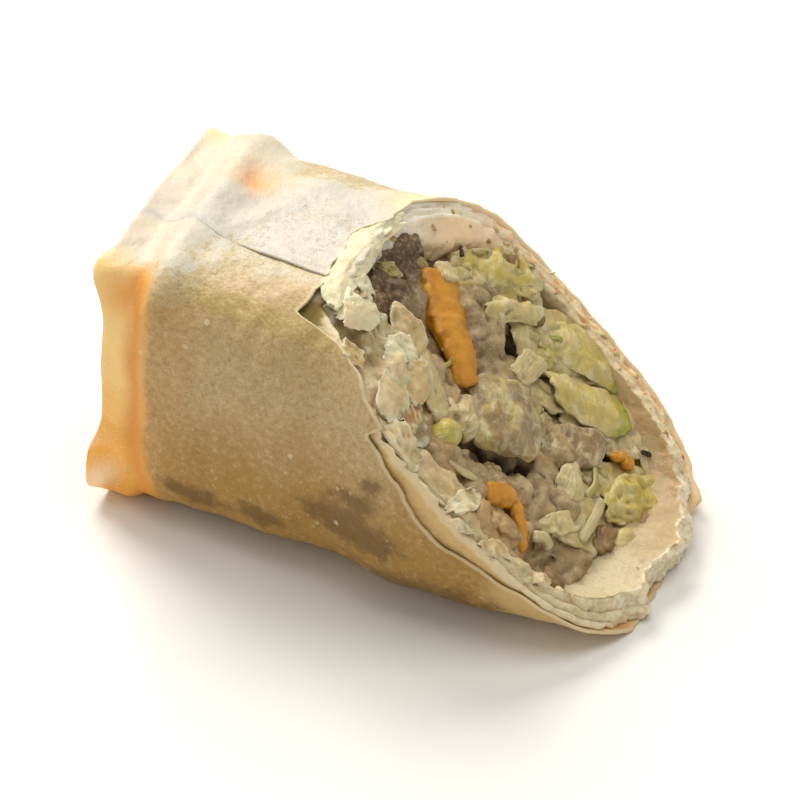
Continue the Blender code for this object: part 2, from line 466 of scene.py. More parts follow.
def skin_height(points, angle, distance):
    """The relief of the fried skin: slack lumps, puckers and creases by the folded end, and blisters."""
    body = np.clip((distance - 6.0) / 8.0, 0.0, 1.0)
    height = 0.42 * rough(points, 11.0, 3) * (0.4 + 0.6 * body) + 0.16 * rough(points, 4.2, 4, 2)
    # The sheet drops from the filled body on to the collar, in a crease that wanders.
    drift = wander(points)
    height -= 0.42 * hill(distance + drift, 6.4, 1.3)
    height += 0.30 * hill(distance + drift, 9.4, 1.8)
    height += 0.10 * np.sin(angle * 0.35 + 3.0 * rough(points, 5.0, 15)) * hill(distance, 3.0, 2.4)
    for rise, middle, degrees, place, reach in DENTS:
        height += rise * bump(angle, middle, degrees) * hill(distance, place, reach)
    height += 0.7 * puckers(angle, distance) * bump(angle, 212.0, 13.0) * hill(distance, 0.8, 3.4)
    # Long slack folds that run slantwise over the top, where the turn below ends.
    slant = distance + 0.16 * (angle - 90.0)
    height += 0.15 * hill(slant, 15.0, 1.4) * bump(angle, 88.0, 18.0)
    height -= 0.12 * hill(slant, 16.9, 1.2) * bump(angle, 84.0, 16.0)
    pinched = hill(distance, 18.0, 1.6) + 0.8 * hill(distance, 21.6, 1.2)
    height -= 0.30 * hill(angle + 0.7 * distance, 79.6, 1.2) * pinched
    height += 0.16 * np.sin(slant * 0.9 + 2.5 * rough(points, 9.0, 14)) * bump(angle, 72.0, 28.0)
    # Wrinkles that run slantwise over the near side, and a sharp one beside the dark patch.
    lean = distance * 0.8 + 0.20 * angle + 3.0 * rough(points, 7.0, 16)
    height += 0.07 * np.sin(lean * 1.3) * bump(angle, 150.0, 50.0) * body
    height -= 0.22 * hill(distance + 0.45 * (angle - 192.0), 27.0, 0.45) * bump(angle, 190.0, 9.0)
    # Blisters: small domes, more of them on the top and near the folded end.
    height += 0.12 * np.clip(rough(points, 1.2, 6) - 0.25, 0.0, 1.0) * (0.6 + 0.4 * rough(points, 8.0, 7))
    height += 0.04 * rough(points, 0.9, 8, 2)
    return height


def outer_turn():
    """The outer turn as a thin slab that overlaps itself at the free edge."""
    around, along = 330, 120
    wound = np.linspace(0.0, 1.035, around)
    angle = SEAM_ANGLE - 360.0 * wound
    start = rim_distance(angle)
    end = cut_distance(angle, SEAM_STEP * wound) + by_angle(angle, BROKEN_EDGE) + torn(angle, 0.42, 20)
    share = np.linspace(0.0, 1.0, along)
    share = share + 0.045 * np.sin(2 * math.pi * share)
    distance = start[None, :] + (end - start)[None, :] * share[:, None]
    # The free edge runs a little slantwise over the top.
    leaning = np.clip((30.0 - distance) / 15.0, 0.0, 1.4) * np.exp(-wound / 0.04)
    angles = angle - SEAM_LEAN * leaning
    # The seam is pressed flat near the folded end, and the covered edge dives under the free one.
    pressed = np.clip((19.0 - distance) / 5.0, 0.0, 1.0)
    covered = np.exp(-np.abs(1 - wound) / 0.1)
    steps = SEAM_STEP * wound - 0.52 * covered + (14.0 - 12.5 * pressed) * np.clip(wound - 1.0, 0.0, 1.0)
    steps = steps + pressed * (0.16 * np.exp(-wound / 0.07) + 0.22 * np.exp(-wound / 0.04))
    base = roll_points(angles, distance, steps)
    height = skin_height(base, angles, distance)
    from_edge = end[None, :] - distance
    height += 0.05 * np.exp(-wound / 0.006) * (1 - pressed) * (0.5 + rough(base, 6.0, 9))
    on_top = bump(angles, 97.0, 24.0)
    height += 0.3 * (1 - on_top) * np.exp(-from_edge / 1.5) * np.clip(rough(base, 4.0, 10) + 0.2, 0.0, 1.0)
    thick = SHEET * (1 - 0.4 * np.exp(-from_edge / 0.5) - 0.3 * on_top * np.exp(-from_edge / 1.6))
    thick = thick + 0.25 * np.exp(-(distance - start) / 2.0)
    outer = roll_points(angles, distance, steps - height)
    inner = roll_points(angles, distance, steps - height + thick)
    inner[..., 2] = np.maximum(inner[..., 2], SHEET * 0.9)
    loops = np.concatenate([outer, inner[:, ::-1]], axis=1)
    count = 2 * around
    faces = ring_faces(along, count)
    last = (along - 1) * count
    for j in range(around - 1):
        faces.append((j, count - 1 - j, count - 2 - j, j + 1))
        faces.append((last + j, last + j + 1, last + count - 2 - j, last + count - 1 - j))

    showing = sum(
        bump(angles, middle, degrees) * hill(distance, place, reach)
        for middle, place, degrees, reach in SHOWING_PLACES
    )
    top_fold = bump(angles, 71.0, 7.0) * hill(distance, 12.0, 2.6)
    corner_fold = bump(angles, 138.0, 6.0) * hill(distance, 4.6, 2.4)
    past_collar = np.clip((distance - 8.0) / 4.0, 0.0, 1.0)
    flap = np.clip((distance - 17.4 + 0.06 * (angles - 72.0)) / 1.2, 0.0, 1.0)
    flap = flap * bump(np.minimum(angles, 90.0), 90.0, 26.0) * (angles < SEAM_ANGLE) * (wound < 0.5)
    # A painted highlight on the crests of the puckers over the low near corner of the collar.
    pucker_highlight = bump(angles, 213.0, 10.0) * hill(distance, 0.6, 2.6) * (0.5 + 0.5 * puckers(angles, distance))
    masks = {
        "along": distance - 1.2 * wander(base),
        "from_edge": from_edge,
        "above": np.sin(np.radians(angles)),
        "near": -np.cos(np.radians(angles)),
        "showing": np.clip(showing, 0.0, 1.0),
        "fold": top_fold + corner_fold,
        "ridge": bump(angles, 131.0 + 0.15 * (distance - 14.0), 7.0) * past_collar,
        "flap": flap,
        "ears": bump(angles, 100.0, 34.0) * np.clip((9.0 - distance) / 4.0, 0.0, 1.0),
        "pucker_highlight": pucker_highlight,
    }
    # The same on the inside of the sheet as outside.
    masks = {name: np.concatenate([values, values[:, ::-1]], axis=1) for name, values in masks.items()}
    return as_mesh("outer_turn", loops, faces, masks)


def fried_pastry():
    """Fried pastry: cream where it stayed pale, tan and gold where the oil browned it, with painted light and
    shade.
    """
    paint = Paint(
        "fried_pastry", Subsurface_Weight=0.2, Subsurface_Scale=0.0012, Subsurface_Radius=(1.0, 0.55, 0.25),
    )
    above, near, along = paint.mask("above"), paint.mask("near"), paint.mask("along")
    soft, fine, speckle = paint.grain(7.0, 4.0), paint.grain(0.9, 4.0, 0.7), paint.grain(0.3, 2.0, 0.6)
    # Taupe on the near side, yellower by the collar, yellower and darker low down, partly painted shade;
    # cream on top.
    low_tone_and_shade = paint.between(above + (soft - 0.5) * 0.6, 0.45, -0.5)
    paint.start(low_tone_and_shade, (190, 164, 114), (172, 131, 48))
    paint.over(paint.between(along + (soft - 0.5) * 6.0, 17.0, 8.0) * 0.6, (196, 152, 82))
    olive = paint.between(paint.mask("ridge") + (paint.grain(2.4, 4.0) - 0.5) * 1.2, 0.35, 0.95)
    paint.over(olive * 0.7, (184, 162, 96))
    # The top, and the far side by the collar, are painted paler in beige, cream and white: a painted
    # highlight.
    by_collar, far = paint.between(along, 19.0, 8.0), paint.between(near, -0.1, -0.4)
    lit = above + by_collar * 0.22 - 0.04 + far * 0.14
    lit_beige = paint.between(lit + (soft - 0.5) * 0.3, 0.76, 0.94)
    paint.over(lit_beige * 0.8, (206, 188, 146))
    cream = paint.between(lit + (soft - 0.5) * 0.35 + (paint.grain(1.6, 4.0) - 0.5) * 0.3, 0.9, 1.0)
    paint.over(cream, (210, 201, 180))
    white = paint.between(above + (paint.grain(4.6, 4.0, 0.55, (0.5, 1.0, 1.0)) - 0.5) * 0.6, 0.84, 1.06)
    paint.over(white * 0.8, (202, 196, 184))
    paint.over(paint.mask("flap") * 0.85, (201, 196, 186))
    paint.over(paint.mask("ears") * paint.between(soft, 0.35, 0.6) * 0.7, (216, 202, 190))
    # The mottling of many small blisters, fainter on the top.
    clear = 1.0 - cream * 0.75
    paint.over(paint.between(fine, 0.46, 0.7) * clear * 0.4, (146, 114, 60))
    paint.over(paint.between(fine, 0.5, 0.3) * clear * 0.25, (226, 208, 168))
    paint.over(paint.between(speckle, 0.48, 0.68) * clear * 0.34, (138, 106, 56))
    # Paler again low down beside the cut, where the sheet bends out.
    pale = paint.between(along + (soft - 0.5) * 4.0, 53.0, 59.0) * paint.between(above, -0.1, -0.5)
    paint.over(pale * paint.between(near, -0.1, 0.3) * 0.7, (226, 194, 130))
    # The back and the underside fried to a deeper gold in patches.
    from_edge = paint.mask("from_edge")
    back = paint.between(near, -0.1, -0.6) * paint.between(above, 0.75, 0.4)
    back = back * paint.between(from_edge, 3.0, 9.0) + paint.between(above, -0.75, -0.95)
    browned = paint.between(paint.grain(9.0, 5.0, 0.55), 0.42, 0.62)
    paint.over(back * browned * 0.6, (214, 140, 60))
    # Thin fried orange collar, painted bright peach for light glowing through it, deepest in the crease
    # beside the body.
    collar = paint.between(along + (fine - 0.5) * 1.6, 8.8, 6.0)
    side = paint.between(above + (soft - 0.5) * 0.2, 0.84, 0.7)
    lip = paint.between(from_edge, 5.0, 1.0) * paint.between(near, -0.2, -0.6)
    paint.over(lip * 0.85, (252, 222, 176))
    low = paint.between(above + (soft - 0.5) * 0.8, 0.5, -0.6)
    peach = paint.mixed(low, (255, 216, 138), (252, 178, 56))
    peach = paint.mixed(paint.between(speckle, 0.5, 0.7) * 0.45, peach, (255, 232, 188))
    paint.over(collar * (0.06 + 0.94 * side), peach)
    crease = paint.between(along, 3.4, 6.2) * collar * side
    paint.over(crease * 0.85, (220, 140, 30))
    paint.over(paint.mask("fold") * 0.75, (240, 158, 66))
    # Pale cream on the crests of the puckers: a painted highlight.
    paint.over(paint.mask("pucker_highlight") * 0.8, (255, 228, 196))
    # The filling shows through the thin sheet in dark patches.
    through = paint.between(paint.mask("showing") + (paint.grain(2.0, 5.0, 0.7) - 0.5) * 1.8, 0.28, 0.9)
    paint.over(through * 0.85, (114, 82, 24))
    # A few pale blisters that dried, and a dust of smaller ones.
    flecks = paint.between(paint.spots(3.4), 0.15, 0.08) * paint.between(paint.grain(6.0), 0.46, 0.6)
    paint.over(flecks * 0.6, (226, 208, 168))
    dust = paint.between(paint.spots(1.1), 0.24, 0.1) * paint.between(paint.grain(4.0), 0.5, 0.62)
    paint.over(dust * 0.3, (232, 216, 182))
    # Its broken edge, where the crisp sheet broke, is painted pale: a painted highlight along the rim.
    edge_highlight = paint.between(from_edge, 0.8, 0.1) * paint.between(along, 12.0, 16.0)
    paint.over(edge_highlight * 0.7, (230, 212, 174))
    bumps = paint.relief(speckle, 0.05)
    bumps = paint.relief(fine, 0.09, bumps)
    bumps = paint.relief(paint.grain(2.2, 4.0, 0.55), 0.22, bumps)
    bumps = paint.relief(flecks, 0.10, bumps)
    return paint.set(Roughness=0.38 + 0.22 * fine, Normal=bumps)


fried_paint = fried_pastry()
finish_piece("outer_turn", outer_turn(), fried_paint, "fried_pastry", "wrapper")

# ---- The tucked end ----
# The sides of the sheet are folded in before the last turn, so they line the collar and close the roll
# behind it in a few soft creased folds.

# How far the lining is set in from the skin, and its thickness.
LINING = 1.5
LINING_WALL = 0.8
# The folded end from the wall of the collar to its middle: share of the inner size, distance.
TUCK = ((1.0, 8.4), (0.93, 9.2), (0.84, 7.4), (0.74, 6.6), (0.62, 7.1), (0.48, 8.4), (0.3, 9.2), (0.04, 8.8))
TUCK_LEAN = 0.9
TUCK_THICKNESS = 2.4
# How high the middle of the folds lies.
TUCK_MIDDLE = 18.0


def tucked_end():
    """The lining of the collar and the folded end behind it, as one closed crumpled shell."""
    around = 240
    angle = 360.0 * np.arange(around) / around
    rim = rim_distance(angle)
    lining_edge = rim + 0.5
    inner_wall = LINING + LINING_WALL
    back = TUCK[-1][1] + TUCK_THICKNESS
    rings = [(back, LINING + LINING_WALL * (1 - share), share) for share in np.linspace(0.05, 1.0, 12)]
    rings += [(lining_edge + step, LINING, 1.0) for step in (6.0, 4.5, 2.5, 1.2, 0.4)]
    rings += [(rim + 0.35, LINING + 0.5 * LINING_WALL, 1.0)]
    wall = len(rings)
    rings += [(lining_edge + step, inner_wall, 1.0) for step in (0.3, 1.2, 2.4, 3.6, 4.8)]
    front = len(rings)
    shares = [row[0] for row in TUCK]
    for share in np.linspace(1.0, 0.03, 60):
        place = np.interp(-share, [-value for value in shares], [row[1] for row in TUCK])
        rings.append((place + TUCK_LEAN * share * np.cos(np.radians(angle)), inner_wall, share))
    parts = [np.broadcast_arrays(angle, *ring) for ring in rings]
    angles, distance, inset, share = (np.array(column, float) for column in zip(*parts))
    waves = np.sin(np.radians(angles) * 9.0 + 0.5 * distance) + np.sin(np.radians(angles) * 4.0 + 1.0)
    inset[wall:front] += 0.3 + 0.28 * waves[wall:front]
    inset += SEAM_STEP * past_seam(angles)
    points = roll_points(angles, distance, inset, share)
    side, upright = points[..., 1], points[..., 2] - TUCK_MIDDLE
    # The folds: creases from the corners, the edge of the flap that was folded last, and wrinkles across it.
    corners = [np.abs(side) - slope * np.abs(upright) - 1.0 for slope in (0.8, 1.25)]
    creases = sum(hill(corner, 0.0, 1.0) for corner in corners) * share
    flap = 1 / (1 + np.exp((upright - 1.5 - 1.4 * rough(points * (0.0, 1.0, 0.0), 6.0, 72)) / 0.22))
    wrinkles = np.sin(side * 1.3 + 2.2 * rough(points, 6.0, 73)) * hill(upright, 9.0, 6.0)
    crumple = 0.8 * rough(points * (0.2, 1.0, 1.0), 7.0, 70) + 0.35 * rough(points, 2.0, 71, 2)
    relief = 0.8 * creases + 0.9 * flap - 0.35 * wrinkles + crumple
    lift = np.zeros(points.shape[:2])
    lift[front:] = np.clip((1.02 - share[front:]) * 8.0, 0.0, 1.0)
    points[..., 0] += lift * relief
    masks = {"share": share, "depth": distance, "near": -np.cos(np.radians(angles))}
    return as_mesh("tucked_end", points, ring_faces(len(rings), around, capped=True), masks)


def folded_pastry():
    """The folded end: orange at the rim, olive cream on the folds, brown deep in the creases."""
    paint = Paint("folded_pastry", Subsurface_Weight=0.2, Subsurface_Scale=0.0015)
    soft, fine = paint.grain(5.0, 4.0), paint.grain(1.2, 4.0, 0.6)
    share, depth, near = paint.mask("share"), paint.mask("depth"), paint.mask("near")
    paint.start(paint.between(soft, 0.35, 0.65), (214, 176, 104), (226, 200, 140))
    paint.over(paint.between(near + (soft - 0.5), 0.3, -0.6) * 0.8, (206, 136, 48))
    paint.over(paint.between(share, 0.85, 1.0) * paint.between(depth, 4.0, 8.0) * 0.6, (150, 92, 22))
    paint.over(paint.between(fine, 0.5, 0.68) * 0.3, (168, 118, 52))
    bumps = paint.relief(paint.grain(2.0, 4.0, 0.6), 0.25)
    return paint.set(Roughness=0.4 + 0.2 * fine, Normal=bumps)


finish_piece("tucked_end", tucked_end(), folded_pastry(), "fried_pastry")

# ---- The inner turns ----
# Two more turns of the same sheet under the outer one, softer and paler because the oil didn't reach them.
# At the cut their edges show as thin layers, thick and slack under the filling.

# The frame of the cut face: its middle, down its slope, across it to the far side, and out of it.
CUT_RUN = CUT_UNDER - CUT_OVER
CUT_MIDDLE = np.array((49.5, -2.2, 20.0))
DOWNHILL = np.array((CUT_RUN, 0.0, -CUT_HEIGHT)) / math.hypot(CUT_RUN, CUT_HEIGHT)
ACROSS = np.array((0.0, 1.0, 0.0))
OUT_OF_CUT = np.array((CUT_HEIGHT, 0.0, CUT_RUN)) / math.hypot(CUT_RUN, CUT_HEIGHT)


def kept_under(points, depth):
    """Points of the roll, with those that lie nearer its skin than a depth moved in to it."""
    half_width, top, under, power, middle = (eased(points[..., 0], column) for column in range(1, 6))
    half_height = (top - under) / 2
    across = points[..., 1] - middle
    upright = points[..., 2] - under - half_height
    power = np.where(upright < 0, power * UNDERSIDE_SQUARER, power)
    wide, high = np.abs(across) / (half_width - depth), np.abs(upright) / (half_height - depth)
    level = wide**power + high**power
    share = 1 / np.maximum(level, 1.0) ** (1 / power)
    return np.stack([points[..., 0], middle + across * share, under + half_height + upright * share], axis=-1)


# Where the innermost turn bunched up thicker: extra thickness, angle, half width.
THIRD_THICKER = (
    (2.6, 272.0, 46.0), (4.2, 137.0, 15.0), (1.5, 186.0, 8.0),
    (1.4, 325.0, 28.0), (3.2, 50.0, 24.0), (2.2, 84.0, 17.0),
)
# Rings of the laminated turns along their outside, and how far behind the cut they start.
OUTSIDE_RINGS = 18
INNER_LENGTH = 16.0
# The shares of a layer's thickness at which its rounded edge has a ring.
EDGE_SHARES = (0.0, 0.12, 0.3, 0.5, 0.7, 0.88, 1.0)


def turn_layers(angle):
    """The outside and the inside of each of the three layers, as depths under the skin."""
    skin = SEAM_STEP * past_seam(angle)
    under = np.clip(-np.sin(np.radians(angle)), 0.0, 1.0) ** 2
    corner = bump(angle, 128.0, 24.0)
    first_out = skin + SHEET - 0.1 + 0.15 * bump(angle, 175.0, 35.0)
    first_in = first_out + 0.6 + 0.3 * under
    second_out = first_in + 0.08
    second_in = second_out + 0.65 + 0.4 * under + 0.9 * corner
    third_out = second_in + 0.08
    third_in = third_out + 0.4
    for extra, middle, degrees in THIRD_THICKER:
        third_in = third_in + extra * bump(angle, middle, degrees)
    third_in = third_in + 0.5 * torn(angle, 1.0, 48) * bump(angle, 170.0, 40.0)
    return (first_out, first_in), (second_out, second_in), (third_out, third_in)


def layer_edges(angle, plane, far, stuck):
    """Where each layer ends at the cut, from masks of the far side and of where the layers stick together."""
    ledge = bump(angle, 285.0, 40.0)
    # Flush with the outer turn on the far side, and standing past its ragged edge on top.
    flush = far * (by_angle(angle, BROKEN_EDGE) - 0.1)
    over = bump(angle, 93.0, 19.0)
    nibbled = (0.35 + 0.65 * (1 - far)) * (1 - 0.85 * bump(angle, 282.0, 42.0))
    first = plane - 0.5 * (1 - far) + flush
    edges = (
        first + nibbled * torn(angle, 0.5, 30) - 3.0 * bump(angle, 122.0, 8.0) + 1.3 * over
        - 0.8 * bump(angle, 186.0, 9.0),
        first + nibbled * torn(angle, 0.9, 34) - 1.6 * bump(angle, 136.0, 16.0) + 1.1 * over + 0.4 * ledge,
        plane - 1.1 * (1 - far) + flush - 0.4 + nibbled * torn(angle, 1.1, 38)
        - 2.0 * bump(angle, 135.0, 26.0) + 0.6 * over + 0.9 * ledge,
    )
    edges = [edge * (1 - stuck) + (edges[0] + 0.25 * number) * stuck for number, edge in enumerate(edges)]
    # At the far top corner the lip slopes outwards, so it faces up.
    return [edge + 0.5 * number * bump(angle, 50.0, 24.0) for number, edge in enumerate(edges)]


def inner_turns():
    """The turns inside the outer one as one laminated ring, with a groove between its layers at the cut."""
    around = 480
    angle = SEAM_ANGLE - 360.0 * np.arange(around) / around
    layers = turn_layers(angle)
    first_out, third_in = layers[0][0], layers[2][1]
    plane = cut_distance(angle, first_out)
    far = bump(angle, 4.0, 62.0)
    # The layers stick together under the filling and at the far top corner.
    stuck = np.maximum(bump(angle, 290.0, 64.0), bump(angle, 56.0, 40.0))
    edges = layer_edges(angle, plane, far, stuck)
    # Rings along the outside, over the edge of each layer with a groove between, and back along the inside.
    rings, tone, layer_starts = [], [], []
    back = plane - INNER_LENGTH
    for share in np.linspace(0.0, 0.92, OUTSIDE_RINGS):
        rings.append((back + (edges[0] - back) * share, first_out))
        tone.append(0.15)
    for number, ((outside, inside), edge) in enumerate(zip(layers, edges)):
        thickness = inside - outside
        layer_starts.append(len(rings))
        for share in EDGE_SHARES:
            curve = 1 - math.sqrt(1 - (2 * share - 1) ** 2)
            rounding = 0.42 * np.minimum(thickness, 1.6) * curve * (1 - 0.9 * stuck)
            rings.append((edge - rounding, outside + thickness * share))
            tone.append(0.3 + 0.25 * number)
        if number < 2:
            gap = 0.05 + 1.8 * np.clip(torn(angle, 1.0, 44 + number) - 0.05, 0.0, 1.5)
            gap = gap * (1 - 0.93 * np.maximum(far, stuck))
            middle = (inside + layers[number + 1][0]) / 2
            rings.append((np.minimum(edge, edges[number + 1]) - gap, middle))
            tone.append(0.1)
    # Behind the far top corner the innermost layer slopes down on to the filling.
    inside_start = len(rings)
    slope = 2.6 * bump(angle, 62.0, 42.0)
    for share in np.linspace(0.15, 1.0, 14) ** 2:
        behind = (edges[2] - back) * share
        rings.append((edges[2] - behind, third_in + slope * np.clip(behind / 2.4, 0.0, 1.0)))
        tone.append(0.7)
    distance = np.array([ring[0] for ring in rings])
    inset = np.array([np.broadcast_to(ring[1], angle.shape) for ring in rings])
    angles = np.broadcast_to(angle, distance.shape)
    ring = np.arange(len(rings))[:, None]

    def ring_span(start, stop):
        return (ring >= start) * (ring < stop)

    # On the top the torn belt lies nearly flush with the outer turn, and in the notch it sinks.
    first_start, second_start, third_start = layer_starts
    outermost = ring_span(0, second_start - 1)
    belt = np.clip((distance - plane + 2.8) / 0.8, 0.0, 1.0)
    inset = inset - 0.28 * outermost * bump(angles, 98.0, 14.0) * belt
    notch = outermost * bump(angles, 127.0, 7.0) * hill(distance, 28.3, 2.0)
    inset = inset + 0.4 * notch
    base = roll_points(angles, distance, inset)
    relief = skin_height(base, angles, distance) * np.exp(-np.maximum(inset - first_out, 0.0) / 3.0)
    crumbled = 1 + 0.8 * bump(angles, 296.0, 46.0)
    rise = 0.34 * rough(base, 2.2, 50, 2) * crumbled + 0.16 * rough(base, 0.7, 51) * crumbled
    slide = 0.55 * rough(base, 1.6, 52, 2) + 0.2 * rough(base, 0.6, 53) * crumbled
    doughy = (1.8 * rough(base, 4.6, 54) + 0.5 * creased(base, 5.0, 55)) * bump(angles, 278.0, 46.0)
    points = roll_points(angles, distance + slide + doughy, inset - 0.4 * rise - relief)
    points[..., 2] = np.maximum(points[..., 2], SHEET)
    at_cut = ring_span(first_start - 1, inside_start + 1)
    innermost = ring_span(inside_start - 1, len(rings))
    masks = {
        "tone": np.broadcast_to(np.array(tone)[:, None], distance.shape),
        "above": np.broadcast_to(np.sin(np.radians(angles)), distance.shape),
        "near": np.broadcast_to(-np.cos(np.radians(angles)), distance.shape),
        "rim": ring_span(first_start - 1, second_start - 1) * np.ones(distance.shape),
        "lip": at_cut * bump(angles, 0.0, 48.0),
        "crumbly": ring_span(second_start - 1, inside_start + 5) * bump(angles, 186.0, 30.0),
        "notch": notch,
        # Where the far top corner is painted bright for the light that glows through it.
        "painted_glow": ring_span(first_start - 1, len(rings)) * bump(angles, 57.0, 30.0),
        "peach": ring_span(third_start + 1, len(rings)) * bump(angles, 44.0, 18.0),
        "ceiling": innermost * bump(angles, 76.0, 20.0),
        "floor": innermost * bump(angles, 300.0, 50.0),
        "foot": at_cut * bump(angles, 280.0, 50.0),
    }
    return as_mesh("inner_turns", points, ring_faces(len(rings), around, closed=True), masks)


def soft_pastry():
    """Pastry that the oil didn't reach: cream, slightly waxy, with a peach tint next to the skin."""
    paint = Paint(
        "soft_pastry", Subsurface_Weight=0.25, Subsurface_Scale=0.0015, Subsurface_Radius=(1.0, 0.7, 0.4),
    )
    tone, near, above = paint.mask("tone"), paint.mask("near"), paint.mask("above")
    soft, fine, speckle = paint.grain(4.0, 4.0), paint.grain(0.9, 4.0, 0.6), paint.grain(0.35, 2.0, 0.6)
    inside = paint.between(tone + (soft - 0.5) * 0.6, 0.15, 0.6)
    paint.start(inside, (222, 192, 140), (206, 190, 146))
    far = paint.between(near, -0.1, -0.7)
    paint.over(far * 0.7, (236, 216, 172))
    paint.over(far * paint.between(tone, 0.75, 0.3) * 0.8, (255, 226, 178))
    low = paint.between(above, -0.5, -0.9)
    paint.over(low * paint.between(tone, 0.3, 0.6) * 0.8, (232, 217, 182))
    outside = paint.between(tone, 0.28, 0.18)
    paint.over(outside * paint.between(near, 0.2, 0.7), (222, 188, 126))
    chalky = paint.between(above + (soft - 0.5) * 0.3, 0.6, 0.9) * paint.between(near, -0.7, -0.3)
    paint.over(chalky, (218, 210, 190))
    paint.over(paint.between(fine, 0.5, 0.7) * 0.4, (186, 156, 104))
    paint.over(paint.between(speckle, 0.5, 0.7) * 0.25, (178, 146, 92))
    paint.over(paint.between(soft, 0.5, 0.68) * 0.3, (196, 176, 112))
    # A painted highlight along the rim of the outermost layer's edge on the near side.
    paint.over(paint.mask("rim") * paint.between(near, 0.0, 0.5) * 0.6, (240, 222, 184))
    paint.over(paint.mask("floor") * (0.5 + 0.5 * soft), (176, 146, 92))
    paint.over(paint.mask("foot") * paint.between(fine, 0.6, 0.4) * 0.8, (250, 240, 212))
    # The far top corner painted near white for light shining through the thin layers: a painted glow.
    paint.over(paint.mask("painted_glow") * 0.92, (255, 246, 228))
    paint.over(paint.mask("peach") * (0.4 + 0.6 * soft), (255, 214, 160))
    scorched = paint.between(paint.grain(1.5, 3.0), 0.48, 0.62) * paint.between(tone, 0.9, 0.4)
    paint.over(far * scorched * (1 - paint.mask("painted_glow")) * 0.75, (226, 160, 84))
    paint.over(paint.mask("ceiling"), (226, 190, 118))
    # The notch painted dark olive: the under-layer's olive tone with painted shade of the recess.
    paint.over(paint.between(paint.mask("notch"), 0.25, 0.7), (150, 128, 60))
    bumps = paint.relief(paint.grain(2.0, 4.0, 0.6), 0.2, paint.relief(fine, 0.2))
    return paint.set(Roughness=0.42 + 0.2 * fine, Normal=bumps)


inner_mesh = inner_turns()
finish_piece("inner_turns", inner_mesh, soft_pastry(), "fried_pastry")

# ---- The filling's core ----
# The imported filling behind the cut, cooked solid before rolling. Only its shape matters, because the mince
# and the vegetables hide it.


def on_cut(downhill, across, out=0.0):
    """A point given on the cut face: down its slope, across it to the far side, and out of it."""
    downhill, across, out = (value[..., None] for value in np.broadcast_arrays(downhill, across, out))
    return CUT_MIDDLE + downhill * DOWNHILL + across * ACROSS + out * OUT_OF_CUT


def cavity_edge(angle, recess, extra=0.0):
    """The edge of the filling where it meets the inner turns, set back from the cut."""
    under = np.clip(-np.sin(np.radians(angle)), 0.0, 1.0) ** 2
    inset = 2.3 + extra + 2.6 * under + 2.0 * bump(angle, 128.0, 24.0)
    distance = cut_distance(angle, inset) - recess
    return roll_points(angle, distance, inset)


def filling_core():
    """A plain loft from the folded end to just behind the cut."""
    around = 96
    angle = 360.0 * np.arange(around) / around
    face = cavity_edge(angle, 6.5, 0.3)
    inset = 3.0 + 2.6 * np.clip(-np.sin(np.radians(angle)), 0.0, 1.0) ** 2
    back = roll_points(angle, 12.8, inset)
    rings = [back + (face - back) * share for share in np.linspace(0.0, 1.0, 12)]
    middle = face.mean(axis=0)
    rings += [middle + (face - middle) * share for share in (0.85, 0.6, 0.35, 0.1)]
    points = np.array(rings)
    points = points + 0.3 * rough(points, 6.0, 60)[..., None] * OUT_OF_CUT
    return as_mesh("filling_core", points, ring_faces(len(rings), around, capped=True))


def cooked_mince():
    """Cooked minced pork: grey brown, moist, grainy, with painted shade in its hollows and highlight on its
    crests.
    """
    paint = Paint("cooked_mince", Coat_Roughness=0.3)
    soft, fine, grit = paint.grain(3.2, 4.0), paint.grain(0.7, 4.0, 0.65), paint.grain(0.3, 3.0, 0.6)
    paint.start(paint.between(soft, 0.38, 0.62), (148, 124, 84), (182, 156, 112))
    paint.over(paint.between(fine, 0.5, 0.68) * 0.45, (112, 86, 54))
    paint.over(paint.between(grit, 0.5, 0.64) * 0.3, (208, 188, 148))
    # Painted shade in the creases and a painted highlight on the crests.
    paint.over(paint.between(paint.mask("hollow"), 0.5, 0.85) * 0.7, (90, 64, 34))
    paint.over(paint.between(paint.mask("hollow"), 0.4, 0.1) * 0.4, (204, 182, 142))
    # Deep behind the cut the mince is painted nearly black: painted shade of the recess.
    paint.over(paint.between(paint.mask("depth"), 2.4, 4.4) * 0.92, (52, 34, 15))
    warm = paint.between(paint.grain(5.5, 3.0), 0.5, 0.68)
    paint.over(warm * 0.45, (190, 152, 92))
    # Dark brown under the top lip of the opening: a painted shadow.
    paint.over(paint.mask("under_lip_shadow") * paint.between(fine, 0.25, 0.55) * 0.85, (74, 46, 18))
    bumps = paint.relief(fine, 0.2, paint.relief(grit, 0.1))
    return paint.set(Roughness=0.34 + 0.25 * fine, Coat_Weight=0.15 * soft, Normal=bumps)


mince_paint = cooked_mince()
finish_piece("filling_core", filling_core(), mince_paint, "cooked_filling", "filling")

# ---- The mince ----
# Minced pork in small crumbling lumps, the ground of the heap at the cut. It has hollows where shreds pulled
# out and mounds where the meat clumped.

